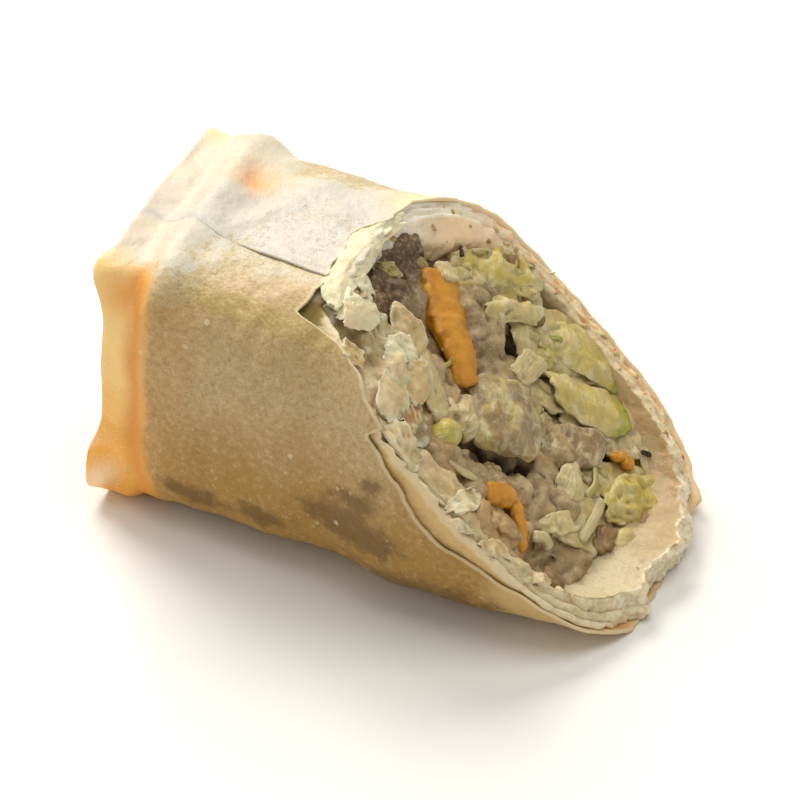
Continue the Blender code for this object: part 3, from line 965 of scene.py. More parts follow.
# The mounds and hollows of the heap: down the slope, across, radius, and how far it rises or sinks.
MOUNDS = (
    (-1.6, -8.8, 1.5, -5.0), (1.0, -7.0, 1.4, -5.0), (3.6, -5.5, 1.4, -4.6), (6.4, -4.0, 1.5, -5.0),
    (-17.6, -3.2, 1.5, -3.4), (-3.4, 9.3, 1.6, -3.0), (-19.5, 8.5, 3.4, -0.8),
    (-8.6, 6.6, 2.9, 1.7), (10.5, -5.5, 3.4, 0.6), (6.5, -15.0, 2.4, 0.8), (-18.8, 0.2, 2.4, 0.7),
    (0.2, 1.6, 2.6, 0.5), (19.0, -9.0, 3.0, 0.4), (-22.5, 2.0, 3.0, -1.2), (-3.4, -5.6, 2.2, 0.4),
    (-12.0, -1.0, 2.0, -1.4), (14.0, -12.5, 2.4, 0.1), (15.5, -2.0, 2.4, 0.2),
    (-14.0, 3.4, 1.6, -1.2), (9.0, -10.6, 1.4, -1.4), (17.4, -12.6, 1.4, -1.6),
    (-6.0, 1.6, 1.4, -0.9),
)
# How far the mince lies behind the plane of the cut.
HEAP_LEVEL = 1.7


def heap_surface():
    """The slab of mince behind the cut, hilly on its front."""
    around, rings = 150, 44
    angle = 360.0 * np.arange(around) / around
    edge = cavity_edge(angle, 0.0)
    middle = on_cut(0.0, 0.0)
    front = middle + (edge - middle) * np.linspace(1.0, 0.02, rings)[:, None, None]
    offset = front - CUT_MIDDLE
    down, side = offset @ DOWNHILL, offset @ ACROSS
    level = -HEAP_LEVEL - offset @ OUT_OF_CUT + 0.8 * rough(front, 4.0, 61) + 0.4 * rough(front, 1.8, 62)
    pits = 0.0
    for place, across, radius, rise in MOUNDS:
        mound = np.exp(-((down - place) ** 2 + (side - across) ** 2) / radius**2)
        level = level + rise * mound
        pits = pits + (rise < -2.0) * mound
    # The far half and the foot are leaves, so the mince lies lower there.
    beside_carrot = 4.5 * hill(down, -9.0, 6.0)
    leafy = np.clip((side + 0.15 * down - 4.0 - beside_carrot + 4.0 * rough(front, 5.0, 63)) / 3.0, 0.0, 1.0)
    leafy = np.maximum(leafy, np.clip((down - 10.0 + 5.0 * rough(front, 4.0, 64)) / 4.0, 0.0, 0.5))
    front = front + (level - 1.4 * leafy)[..., None] * OUT_OF_CUT
    back = cavity_edge(angle, 9.0, 2.5)
    centre = back.mean(axis=0)
    behind = centre + (back - centre) * np.linspace(0.1, 1.0, 8)[:, None, None]
    points = np.concatenate([behind, front])
    hidden = np.zeros((8, around))
    masks = {
        "front": np.concatenate([hidden, np.ones(front.shape[:2])]),
        "meaty": np.concatenate([hidden, (1 - leafy) * np.clip(1 - 1.4 * pits, 0.0, 1.0)]),
        "leafy": np.concatenate([hidden, leafy]),
    }
    return as_mesh("heap", points, ring_faces(len(points), around, capped=True), masks)


def globe(rings, around, reach):
    """Points of a ball of radius 1 in rings that reach nearly to its poles, and the turns round it."""
    rise = np.linspace(-reach, reach, rings)[:, None] * math.pi
    turn = 2 * math.pi * np.arange(around)[None, :] / around
    upright = np.sin(rise) + 0 * turn
    return np.stack([np.cos(rise) * np.cos(turn), np.cos(rise) * np.sin(turn), upright], axis=-1), turn


def ball(name, seed, bumps, flat, rings=7, around=9):
    """A small crumb, lumpy and a little flattened, in its own space."""
    points = globe(rings, around, 0.46)[0] * (1.0, 1.0, flat)
    points = points * (1 + bumps * rough(points, 0.8, seed))[..., None]
    mesh = as_mesh(name, points, ring_faces(rings, around, capped=True))
    mesh.transform(Matrix.Translation(-ROLL_START))
    return mesh


# The upper limit of scattered copies for each square metre, far over what their spacing leaves room for.
MOST_PER_AREA = 4e6


def made_real(made):
    """What an object's modifiers make of it, as a plain mesh. The object itself is removed."""
    mesh = bpy.data.meshes.new_from_object(made.evaluated_get(bpy.context.evaluated_depsgraph_get()))
    bpy.data.objects.remove(made)
    return mesh


def scattered(
    name, surface, shape, spacing, smallest, largest, seed, mask, keep_surface=False, tilt=math.tau
):
    """Copies of a shape strewn over a surface where its mask is high, by Geometry Nodes, as a plain mesh.

    They lie along the surface and turn freely on it, and tip off it by up to the tilt.
    """
    tree = bpy.data.node_groups.new(name, "GeometryNodeTree")
    for label, way in (("Surface", "INPUT"), ("Pieces", "OUTPUT")):
        tree.interface.new_socket(label, in_out=way, socket_type="NodeSocketGeometry")

    def node(kind, settings=None, **links):
        made = tree.nodes.new(kind)
        for setting, value in (settings or {}).items():
            setattr(made, setting, value)
        for socket, value in links.items():
            target = made.inputs[socket.replace("_", " ")]
            if isinstance(value, bpy.types.NodeSocket):
                tree.links.new(value, target)
            else:
                target.default_value = value
        return made

    seed_shape = add_object(name + "_shape", shape)
    bare = node("NodeGroupInput").outputs["Surface"]
    chosen = node("GeometryNodeInputNamedAttribute", {"data_type": "FLOAT"}, Name=mask)
    points = node(
        "GeometryNodeDistributePointsOnFaces", {"distribute_method": "POISSON"}, Mesh=bare,
        Distance_Min=spacing * MM, Density_Max=MOST_PER_AREA, Density_Factor=chosen.outputs["Attribute"],
        Seed=seed,
    )
    object_info = node("GeometryNodeObjectInfo", Object=seed_shape, As_Instance=True)
    turned = node(
        "FunctionNodeRandomValue", {"data_type": "FLOAT_VECTOR"}, Seed=seed, Min=(-tilt, -tilt, 0.0),
        Max=(tilt, tilt, math.tau),
    )
    spun = node(
        "FunctionNodeRotateRotation", {"rotation_space": "LOCAL"}, Rotation=points.outputs["Rotation"],
        Rotate_By=turned.outputs["Value"],
    )
    sized = node("FunctionNodeRandomValue", {"data_type": "FLOAT"}, Seed=seed)
    sized.inputs[2].default_value = smallest
    sized.inputs[3].default_value = largest
    placed = node(
        "GeometryNodeInstanceOnPoints", Points=points.outputs["Points"],
        Instance=object_info.outputs["Geometry"], Rotation=spun.outputs["Rotation"], Scale=sized.outputs[1],
    )
    result = placed.outputs["Instances"]
    if keep_surface:
        both = node("GeometryNodeJoinGeometry")
        tree.links.new(result, both.inputs["Geometry"])
        tree.links.new(bare, both.inputs["Geometry"])
        result = both.outputs["Geometry"]
    real = node("GeometryNodeRealizeInstances", Geometry=result)
    node("NodeGroupOutput", Pieces=real.outputs["Geometry"])
    ground = add_object(name + "_ground", surface)
    ground.modifiers.new("strewn", "NODES").node_group = tree
    plain = made_real(ground)
    plain.name = name
    bpy.data.objects.remove(seed_shape)
    return plain


def strew(surface, paint, slot, kinds):
    """Finished pieces of scraps: each kind's name, shape, spacing, smallest, largest, seed, mask and tilt."""
    for name, shape, spacing, smallest, largest, seed, mask, tilt in kinds:
        scraps = scattered(name, surface, shape, spacing, smallest, largest, seed, mask, tilt=tilt)
        finish_piece(name, scraps, paint, slot)


def kneaded(mesh, voxel):
    """Overlapping lumps melted together into one skin."""
    made = add_object("kneaded", mesh)
    remesh = made.modifiers.new("melt", "REMESH")
    remesh.mode = "VOXEL"
    remesh.voxel_size = voxel * MM
    worn = made.modifiers.new("worn", "SMOOTH")
    worn.factor = 0.6
    worn.iterations = 8
    return made_real(made)


def mesh_points(mesh):
    """The points of a mesh in millimetres on the roll's axes."""
    flat = np.empty(len(mesh.vertices) * 3)
    mesh.vertices.foreach_get("co", flat)
    return (flat.reshape(-1, 3) - np.array(ROLL_START)) / MM


# How often the bend of a mesh is smoothed, and the radius of its sharpest crease.
SMOOTHINGS = 2
SHARPEST = 0.7


def hollows(mesh):
    """How deep each point of a mesh lies in a crease: 0 on a crest, 0.5 on the flat, 1 in a hollow."""
    count = len(mesh.vertices)
    ends, places, normals = np.empty(len(mesh.edges) * 2, np.int32), np.empty(count * 3), np.empty(count * 3)
    mesh.edges.foreach_get("vertices", ends)
    mesh.vertices.foreach_get("co", places)
    mesh.vertices.foreach_get("normal", normals)
    one, two = ends.reshape(-1, 2).T
    places, normals = places.reshape(-1, 3) / MM, normals.reshape(-1, 3)
    away = places[two] - places[one]
    away /= np.maximum((away**2).sum(axis=1, keepdims=True), 0.02)
    bend = np.bincount(one, (away * normals[one]).sum(axis=1), count)
    bend -= np.bincount(two, (away * normals[two]).sum(axis=1), count)
    shared = np.maximum(np.bincount(one, minlength=count) + np.bincount(two, minlength=count), 1)
    bend /= shared
    for _ in range(SMOOTHINGS):
        beside = np.bincount(one, bend[two], count) + np.bincount(two, bend[one], count)
        bend = 0.4 * bend + 0.6 * beside / shared
    return np.clip(0.5 + bend * SHARPEST, 0.0, 1.0)


def with_hollows(mesh):
    """Stores the creases of a mesh on its points."""
    stored = mesh.attributes.new("hollow", "FLOAT", "POINT")
    stored.data.foreach_set("value", hollows(mesh).astype(np.float32))
    return mesh


def mince():
    """Lumps of mince on the heap, melted together and roughened."""
    lump_shape = ball("mince_lump", 5, 0.5, 0.8)
    strewn = scattered("mince", heap_surface(), lump_shape, 1.3, 0.5, 1.7, 8, "meaty", True)
    skin = kneaded(strewn, 0.34)
    points = mesh_points(skin)
    normals = np.empty(len(skin.vertices) * 3)
    skin.vertices.foreach_get("normal", normals)
    coarse = 0.5 * rough(points, 3.0, 66) + 0.22 * rough(points, 1.3, 67) + 0.10 * rough(points, 0.7, 68)
    points = points + coarse[:, None] * normals.reshape(-1, 3)
    faces = [tuple(face.vertices) for face in skin.polygons]
    offset = points - CUT_MIDDLE
    # How far each point lies behind the cut, for painted shade, and how far under the top lip, for a painted
    # shadow.
    masks = {"depth": -offset @ OUT_OF_CUT, "under_lip_shadow": np.clip((-offset @ DOWNHILL - 15.0) / 4.0, 0.0, 1.0)}
    return with_hollows(as_mesh("mince", points, faces, masks))


finish_piece("mince", mince(), mince_paint, "cooked_filling")

# ---- The cabbage ----
# White cabbage cut in shreds and squares, cooked soft. Leaf pieces are thin and curl, pale cream inside,
# yellow green near the leaf's edge.


def spline(knots, count):
    """Points along a smooth curve through knots, which may be points or rows of points."""
    knots = np.asarray(knots, float)
    ends = np.concatenate([2 * knots[:1] - knots[1:2], knots, 2 * knots[-1:] - knots[-2:-1]])
    place = np.linspace(0.0, len(knots) - 1 - 1e-9, count)
    index = place.astype(int)
    t = (place - index).reshape((-1,) + (1,) * (knots.ndim - 1))
    one, two, three, four = (ends[index + k] for k in range(4))
    cubic = 3 * two - one - 3 * three + four
    return two + 0.5 * ((three - one) * t + (2 * one - 5 * two + 4 * three - four) * t**2 + cubic * t**3)


# Torn edges eat into a sheet, so its net of places is spread by this share.
GROWTH = 0.16
# Points along each side of the smooth net that a sheet is cut from.
NET = 40
# How much thinner a sheet is at its sides than in the middle.
THINNING = 0.5


def tinted(count, tints):
    """The masks that are the same on every point of a piece."""
    return {name: np.full(count, value) for name, value in tints.items()}


def sheet(rows, thickness, seed, crumple, jag, ribs=0.0, count=(30, 24), lay=on_cut, under=None, **tints):
    """A thin torn piece whose middle runs through rows of places on the cut face, each down, across and out.

    It can be kept a depth under the roll's skin.
    """
    net = np.array([[lay(*place) for place in row] for row in rows])
    net = net + (net - net.mean(axis=(0, 1))) * GROWTH
    fine = spline(np.swapaxes(spline(net, NET), 0, 1), NET)
    v, u = np.meshgrid(np.linspace(-1.0, 1.0, count[1]), np.linspace(-1.0, 1.0, count[0]), indexing="ij")
    edge = (np.abs(u) ** 8 + np.abs(v) ** 8) ** 0.125
    rim = np.stack([u * 3.0, v * 3.0, np.full(u.shape, seed * 1.7)], axis=-1)
    tear = 0.6 + 1.4 * rough(rim, 1.3, seed) + 0.3 * rough(rim, 0.5, seed)
    pull = jag * tear * edge**6 + 0.13 * (u * v) ** 4
    down, side = ((value * (1 - np.clip(pull, 0.0, 0.6)) + 1) * (NET - 1) / 2 for value in (u, v))
    i, j = (np.clip(value.astype(int), 0, NET - 2) for value in (down, side))
    a, b = (down - i)[..., None], (side - j)[..., None]
    one = fine[j, i] * (1 - a) + fine[j, i + 1] * a
    other = fine[j + 1, i] * (1 - a) + fine[j + 1, i + 1] * a
    middle = one * (1 - b) + other * b
    normal = np.cross(np.gradient(middle, axis=1), np.gradient(middle, axis=0))
    normal /= np.linalg.norm(normal, axis=-1, keepdims=True) + 1e-9
    folds = 1.6 * rough(middle, 3.4, seed) + 0.9 * creased(middle, 3.0, seed)
    rise = crumple * (folds + 0.45 * creased(middle, 1.4, seed))
    rise = rise + ribs * np.sin(v * 14.0 + 1.5 * rough(middle, 3.0, seed))
    half = 0.38 * thickness * np.sqrt(np.clip(1 - edge**10, 0.03, 1.0)) * (1 - THINNING * v**2)
    middle = middle + normal * rise[..., None]
    if under:
        middle = kept_under(middle, under)
    top = middle + normal * half[..., None]
    bottom = middle - normal * half[..., None]
    rows_count, columns = u.shape
    size = rows_count * columns
    cells = [k * columns + m for k in range(rows_count - 1) for m in range(columns - 1)]
    faces = [(c, c + 1, c + columns + 1, c + columns) for c in cells]
    faces += [(size + c, size + c + columns, size + c + columns + 1, size + c + 1) for c in cells]
    loop = list(range(columns)) + [k * columns + columns - 1 for k in range(1, rows_count)]
    loop += [size - 1 - m for m in range(1, columns)] + [k * columns for k in range(rows_count - 2, 0, -1)]
    faces += [(size + a, size + b, b, a) for a, b in zip(loop, loop[1:] + loop[:1])]
    masks = tinted(2 * size, tints)
    for name, values in (("side", v), ("reach", u), ("rim", edge**6)):
        masks[name] = np.concatenate([values.ravel(), values.ravel()])
    return np.concatenate([top.reshape(-1, 3), bottom.reshape(-1, 3)]), faces, masks


def stick(
    path, width, height, seed, square, twist=(0.0, 0.0), taper=0.1, lumpy=0.06, narrow=1.0, count=(34, 18),
    **tints
):
    """A bar or ribbon along a curve through places on the cut face, with rounded ends."""
    along, around = count
    middle = spline([on_cut(*place) for place in path], along)
    tangent = np.gradient(middle, axis=0)
    tangent /= np.linalg.norm(tangent, axis=1, keepdims=True)
    side = np.cross(tangent, OUT_OF_CUT)
    side /= np.linalg.norm(side, axis=1, keepdims=True)
    up = np.cross(side, tangent)
    turn = np.radians(np.linspace(twist[0], twist[1], along))[:, None]
    side, up = side * np.cos(turn) + up * np.sin(turn), up * np.cos(turn) - side * np.sin(turn)
    place = np.linspace(0.0, 1.0, along)
    ends = np.clip(np.minimum(place, 1 - place) / taper, 0.0, 1.0)
    scale = (np.sqrt(np.clip(1 - (1 - ends) ** 2, 0.02, 1.0)) * (1 + (narrow - 1) * place))[:, None]
    angle = -2 * math.pi * np.arange(around) / around
    cosine, sine = np.cos(angle), np.sin(angle)
    reach = (np.abs(cosine) ** square + np.abs(sine) ** square) ** (-1 / square)
    flat = width / 2 * reach * cosine * scale
    high = height / 2 * reach * sine * scale
    points = middle[:, None, :] + flat[..., None] * side[:, None, :] + high[..., None] * up[:, None, :]
    away = points - middle[:, None, :]
    swell = lumpy * (rough(points, 1.5, seed) + 0.6 * rough(points, 0.6, seed)) / 0.5
    points = points + away * swell[..., None]
    masks = tinted(along * around, tints)
    masks["side"] = np.broadcast_to(cosine, (along, around)).ravel()
    return points.reshape(-1, 3), ring_faces(along, around, capped=True), masks


def lump(middle, size, seed, lumpy, **tints):
    """A rounded lump with its three radii down the slope, across it and out of it."""
    rings, around = 16, 22
    shape, turn = globe(rings, around, 0.48)
    shape = shape * (1 + lumpy * (rough(shape, 0.9, seed) + 0.5 * rough(shape, 0.4, seed)))[..., None] * size
    points = on_cut(*(np.moveaxis(shape, -1, 0) + np.reshape(middle, (3, 1, 1))))
    masks = tinted(rings * around, tints)
    masks["side"] = np.broadcast_to(np.cos(turn), (rings, around)).ravel()
    return points.reshape(-1, 3), ring_faces(rings, around, capped=True), masks


def joined(name, parts):
    """Separate bits of one kind as one mesh."""
    points, faces, start = [], [], 0
    for part_points, part_faces, _ in parts:
        points.append(part_points)
        faces += [tuple(corner + start for corner in face) for face in part_faces]
        start += len(part_points)
    names = set().union(*(part[2] for part in parts))
    masks = {n: np.concatenate([part[2].get(n, np.zeros(len(part[0]))) for part in parts]) for n in names}
    return with_hollows(as_mesh(name, np.concatenate(points), faces, masks))


cabbage_leaves = [
    # Broad soft leaves underneath, which cover the far half of the cut.
    sheet((((-17.5, 8.6, -2.2), (-14.5, 14.0, -1.6), (-9.0, 19.8, -1.2)),
           ((-14.6, 7.6, -1.6), (-11.0, 12.6, -1.0), (-5.6, 18.6, -0.9)),
           ((-11.6, 7.0, -2.6), (-7.6, 11.4, -2.0), (-2.6, 16.4, -1.8))),
          1.0, 201, 0.34, 0.16, green=0.3, brown=0.3),
    sheet((((-7.4, 13.0, -2.0), (-3.4, 17.6, -1.8), (3.0, 20.8, -1.3)),
           ((-4.6, 10.6, -2.0), (0.0, 14.8, -1.3), (6.6, 18.6, -1.1)),
           ((-1.4, 8.2, -2.6), (3.0, 11.4, -2.0), (9.0, 15.4, -1.8))),
          1.0, 202, 0.34, 0.16, green=0.25, brown=0.2),
    sheet((((3.4, 12.4, -2.4), (8.4, 16.6, -1.8), (14.6, 18.8, -1.3)),
           ((5.4, 9.2, -2.0), (10.6, 12.8, -1.4), (18.0, 15.8, -1.1)),
           ((7.4, 6.2, -2.6), (12.4, 9.2, -2.0), (18.6, 12.2, -1.8))), 1.0, 203, 0.3, 0.16, green=0.1),
    sheet((((11.2, 4.2, -2.6), (15.6, 8.4, -1.9), (20.6, 13.4, -1.4)),
           ((13.2, 2.2, -2.0), (18.4, 6.2, -1.4), (24.2, 10.8, -1.1)),
           ((15.2, 0.2, -2.6), (20.2, 3.2, -1.9), (25.0, 6.2, -1.5))), 1.0, 204, 0.3, 0.16, green=0.35),
    sheet((((-6.4, -3.0, -2.4), (-2.2, 1.6, -1.8), (3.2, 7.4, -1.9)),
           ((-4.2, -6.4, -2.2), (0.6, -1.6, -1.6), (4.4, 3.0, -2.2))),
          0.9, 205, 0.34, 0.2, green=0.1, brown=0.5),
    sheet((((-3.2, 5.2, -2.2), (1.2, 8.2, -1.8), (5.2, 10.4, -2.0)),
           ((-1.2, 2.4, -2.4), (3.2, 5.2, -1.8), (7.2, 7.8, -2.0))),
          0.9, 206, 0.3, 0.2, green=0.15, brown=0.3),
    sheet((((9.2, -3.0, -2.2), (13.2, 1.2, -1.8), (17.2, 3.2, -1.8)),
           ((10.2, -7.0, -2.0), (15.2, -4.0, -1.3), (19.4, -1.8, -1.5)),
           ((12.2, -10.4, -2.2), (16.4, -8.2, -1.5), (20.4, -5.0, -1.8))),
          0.9, 207, 0.3, 0.2, green=0.2, brown=0.2),
    # The two ribbed leaf squares on the far side, with a bright green edge.
    sheet((((-2.4, 13.6, -1.4), (0.8, 19.0, -0.9), (5.1, 19.6, -0.9)),
           ((-0.6, 12.4, -0.9), (3.4, 16.8, -0.4), (8.6, 18.6, -0.5)),
           ((0.6, 11.2, -1.4), (5.2, 14.0, -0.9), (11.0, 17.0, -0.9))),
          0.9, 208, 0.2, 0.12, 0.10, green=0.35, rim_green=0.8),
    sheet((((1.2, 9.6, -1.5), (5.6, 12.6, -0.9), (10.8, 15.8, -0.9)),
           ((3.0, 8.6, -0.8), (7.8, 10.8, -0.3), (13.9, 13.4, -0.5)),
           ((5.6, 7.6, -1.4), (9.6, 8.6, -0.9), (13.4, 10.4, -1.0))),
          0.9, 209, 0.16, 0.12, 0.12, green=0.3, rim_green=0.9),
    # The soft mass by the far top corner.
    sheet((((-16.4, 12.4, -2.0), (-12.6, 18.0, -1.2), (-7.8, 20.8, -1.2)),
           ((-14.2, 11.4, -0.9), (-10.8, 15.8, -0.3), (-6.4, 19.0, -0.6)),
           ((-12.0, 9.8, -1.6), (-8.8, 13.8, -0.9), (-4.8, 17.6, -1.2))),
          1.2, 210, 0.5, 0.2, green=0.45, rim_green=0.2),
    sheet((((-17.4, 9.6, -2.2), (-15.0, 13.6, -1.8)),
           ((-15.4, 8.4, -1.6), (-12.8, 11.8, -1.2))), 0.9, 211, 0.4, 0.2, green=0.55, rim_green=0.3),
    # The curled piece with the brown hollow.
    sheet((((-10.8, 9.0, -2.0), (-8.8, 12.2, -1.4), (-6.0, 15.4, -1.5)),
           ((-9.8, 8.4, -0.2), (-7.4, 11.8, 0.1), (-4.4, 15.6, -0.2)),
           ((-7.8, 8.0, -1.6), (-5.4, 11.4, -0.9), (-2.4, 14.8, -1.3))), 0.9, 212, 0.3, 0.16, green=0.2),
    # The white square on edge.
    sheet((((-2.6, 9.0, -0.2), (1.2, 10.2, -0.4)),
           ((-2.6, 4.4, -0.6), (0.4, 5.2, -1.2))), 1.1, 213, 0.14, 0.12, green=0.05),
    # The flat grey sheet in the middle.
    sheet((((5.2, 2.4, -1.8), (8.7, 6.8, -1.0), (12.4, 9.2, -0.8)),
           ((6.2, 0.4, -1.2), (9.8, 4.2, -0.6), (13.4, 7.4, -0.7)),
           ((7.4, -1.4, -2.0), (10.6, 1.4, -1.2), (14.2, 5.0, -1.2))),
          0.9, 214, 0.24, 0.12, green=0.0, brown=2.5),
    # The large soft yellow leaf low on the far side and the paler sheets beside it.
    sheet((((16.3, 2.6, -1.4), (17.8, 7.8, -0.8), (21.8, 11.6, -1.0)),
           ((17.4, 0.9, -0.7), (20.0, 5.6, -0.1), (23.6, 10.6, -0.6)),
           ((19.4, 0.2, -1.4), (22.3, 3.5, -0.7), (24.0, 6.0, -1.0))),
          1.1, 215, 0.4, 0.14, 0.05, green=0.5, rim_green=0.3),
    sheet((((12.0, 9.6, -1.4), (14.8, 13.0, -1.1)),
           ((13.8, 7.4, -1.1), (17.8, 11.3, -0.8))), 0.9, 216, 0.24, 0.16, green=0.12, brown=0.5),
    sheet((((11.3, 16.5, -1.1), (14.4, 19.4, -0.9)), ((16.7, 12.1, -0.9), (20.3, 15.2, -0.7)),
           ((20.8, 9.2, -1.2), (24.5, 11.7, -0.9))), 0.9, 217, 0.3, 0.14, green=0.1, brown=0.1),
    # The pale plate with a raised point, and the pale shreds below it.
    sheet((((9.8, 0.3, -0.9), (11.0, 1.9, -0.7), (12.7, 2.0, -1.2)),
           ((10.4, -2.1, -0.8), (12.6, -0.8, -0.4), (14.2, -0.4, -1.0)),
           ((12.1, -4.1, -1.4), (13.8, -3.4, -1.3), (14.6, -3.0, -1.5))), 0.8, 218, 0.14, 0.14, green=0.05),
    sheet((((11.4, -9.6, -1.3), (13.1, -5.9, -0.8), (15.2, -2.7, -1.2)),
           ((12.4, -10.5, -1.1), (15.0, -8.2, -0.5), (16.7, -4.4, -0.9))),
          0.8, 219, 0.24, 0.16, green=0.12, rim_green=0.2),
    # The round leaf in the middle and the pale mound beside it.
    sheet((((-5.4, -3.2, -2.0), (-4.0, 0.6, -1.0), (-1.2, 3.4, -1.0), (2.8, 4.8, -1.6)),
           ((-3.6, -4.0, -1.0), (-2.2, -0.6, 0.0), (0.6, 1.8, 0.0), (3.6, 3.0, -1.0)),
           ((-2.8, -6.6, -0.8), (-0.2, -2.4, 0.3), (2.0, -0.6, 0.2), (4.6, 0.8, -0.8)),
           ((-1.2, -7.4, -1.2), (1.8, -4.4, 0.3), (4.0, -2.4, 0.2), (5.6, -0.8, -1.0)),
           ((0.0, -7.6, -2.2), (3.0, -5.4, -1.3), (5.0, -3.8, -1.2), (6.4, -2.0, -2.0))),
          0.9, 220, 0.2, 0.06, count=(60, 40), green=0.34, brown=1.1),
    sheet((((-7.0, -5.6, -1.8), (-4.4, -4.4, -1.2), (-2.4, -5.4, -1.8)),
           ((-6.4, -8.0, -0.8), (-3.6, -7.0, -0.3), (-1.2, -7.6, -1.3)),
           ((-5.6, -9.6, -1.6), (-3.6, -8.8, -1.4), (-1.6, -8.8, -2.2))),
          0.9, 221, 0.3, 0.18, green=0.04, brown=0.6),
    # The grey plate below the pointed leaf.
    sheet((((-13.0, -5.3, -1.0), (-12.0, -3.7, -1.1)),
           ((-11.5, -7.7, -0.6), (-9.3, -5.2, -0.7)),
           ((-9.3, -10.2, -0.5), (-6.5, -7.5, -0.8)),
           ((-7.2, -11.4, -0.9), (-5.9, -10.0, -1.1))), 0.9, 223, 0.2, 0.14, green=0.08, brown=0.2),
]
cabbage_shreds = [
    stick(((4.2, 4.0, -1.0), (4.9, 1.4, -1.0), (4.2, -1.6, -1.4), (2.4, -4.0, -1.9)),
          1.0, 0.6, 231, 2.6, green=0.35),
    stick(((16.6, 1.4, -0.8), (17.1, -2.4, -0.5), (17.4, -6.8, -0.8)), 1.3, 0.8, 232, 3.0, green=0.02),
    stick(((-3.0, -13.4, -1.6), (-1.8, -13.8, -1.1), (0.2, -13.6, -0.8), (2.0, -11.8, -1.2)),
          2.0, 0.6, 233, 2.6, twist=(40.0, 20.0), green=0.05, brown=0.1),
    stick(((-11.2, -1.9, -0.7), (-10.0, -1.6, -0.2), (-9.4, -2.8, -0.3), (-9.8, -4.0, -0.9)),
          0.6, 0.4, 234, 2.4, green=0.95),
    stick(((13.6, 4.4, -0.8), (14.8, 2.0, -0.6), (15.0, -0.4, -1.0)),
          1.3, 0.5, 235, 2.4, twist=(30.0, 30.0), green=0.6),
    stick(((-9.0, 9.8, -0.6), (-7.6, 9.2, 0.0), (-6.4, 8.4, -0.8)), 1.1, 0.9, 236, 2.2, green=0.02),
    stick(((-15.4, 14.0, -0.6), (-13.8, 15.8, -0.1), (-13.0, 15.0, -0.4)), 0.6, 0.5, 237, 2.2, green=0.05),
    stick(((11.8, -12.6, -0.6), (13.2, -11.6, -0.3), (14.6, -11.6, -0.8)), 1.5, 1.0, 238, 3.0, green=0.0),
    sheet((((-24.4, 0.4, -1.6), (-22.4, 3.0, -1.4)), ((-21.8, 0.2, -1.8), (-20.2, 2.6, -1.9))),
          0.8, 239, 0.4, 0.18, green=0.45, brown=0.5),
    sheet((((-21.4, -3.4, -2.0), (-20.2, -1.4, -1.7)),
           ((-19.8, -4.2, -2.4), (-18.4, -2.6, -2.2))), 0.7, 249, 0.3, 0.2, green=0.4, brown=0.5),
    stick(((8.0, -9.4, -1.4), (9.4, -8.0, -1.1), (10.4, -8.4, -1.5)), 0.8, 0.5, 240, 2.4, green=0.7),
    stick(((-0.8, 14.2, -0.8), (0.2, 15.0, -0.4), (1.2, 14.6, -0.8)), 0.8, 0.5, 241, 2.4, green=0.9),
    stick(((-17.6, 8.8, -0.8), (-15.4, 6.4, 0.0)), 2.6, 1.2, 242, 3.4, taper=0.25, lumpy=0.16, green=0.0),
    lump((-4.4, -11.4, -0.9), (1.9, 2.2, 1.6), 243, 0.18, green=0.72),
    lump((-6.6, 17.2, -1.0), (1.8, 1.6, 1.0), 244, 0.2, green=0.3),
    lump((0.6, 11.6, -2.0), (1.6, 1.8, 1.2), 245, 0.25, green=0.55),
    lump((22.4, -0.6, -0.6), (1.8, 2.2, 1.0), 246, 0.2, green=0.25),
]


# The crease mask of scraps too small to have creases.
NO_CREASE = 0.45


def shred(name, seed, length, width, bow, **tints):
    """A small curved strip of leaf, lying flat in its own space."""
    along, around = 8, 8
    place = np.linspace(-0.5, 0.5, along)[:, None]
    turn = 2 * math.pi * np.arange(around)[None, :] / around
    taper = np.sqrt(1.03 - (2 * place) ** 4)
    along_x = length * place + 0 * turn
    along_y = bow * length * place**2 + width / 2 * np.cos(turn) * taper
    upright = 0.12 * length * np.sin(5.0 * place + seed) + 0.2 * np.sin(turn) * taper + 0.1 * np.cos(turn)
    points = np.stack([along_x, along_y, upright], axis=-1)
    points = points + 0.25 * rough(points, 1.2, seed)[..., None]
    masks = tinted(along * around, {"hollow": NO_CREASE, **tints})
    masks["side"] = np.broadcast_to(np.cos(turn), (along, around))
    mesh = as_mesh(name, points, ring_faces(along, around, capped=True), masks)
    mesh.transform(Matrix.Translation(-ROLL_START))
    return mesh


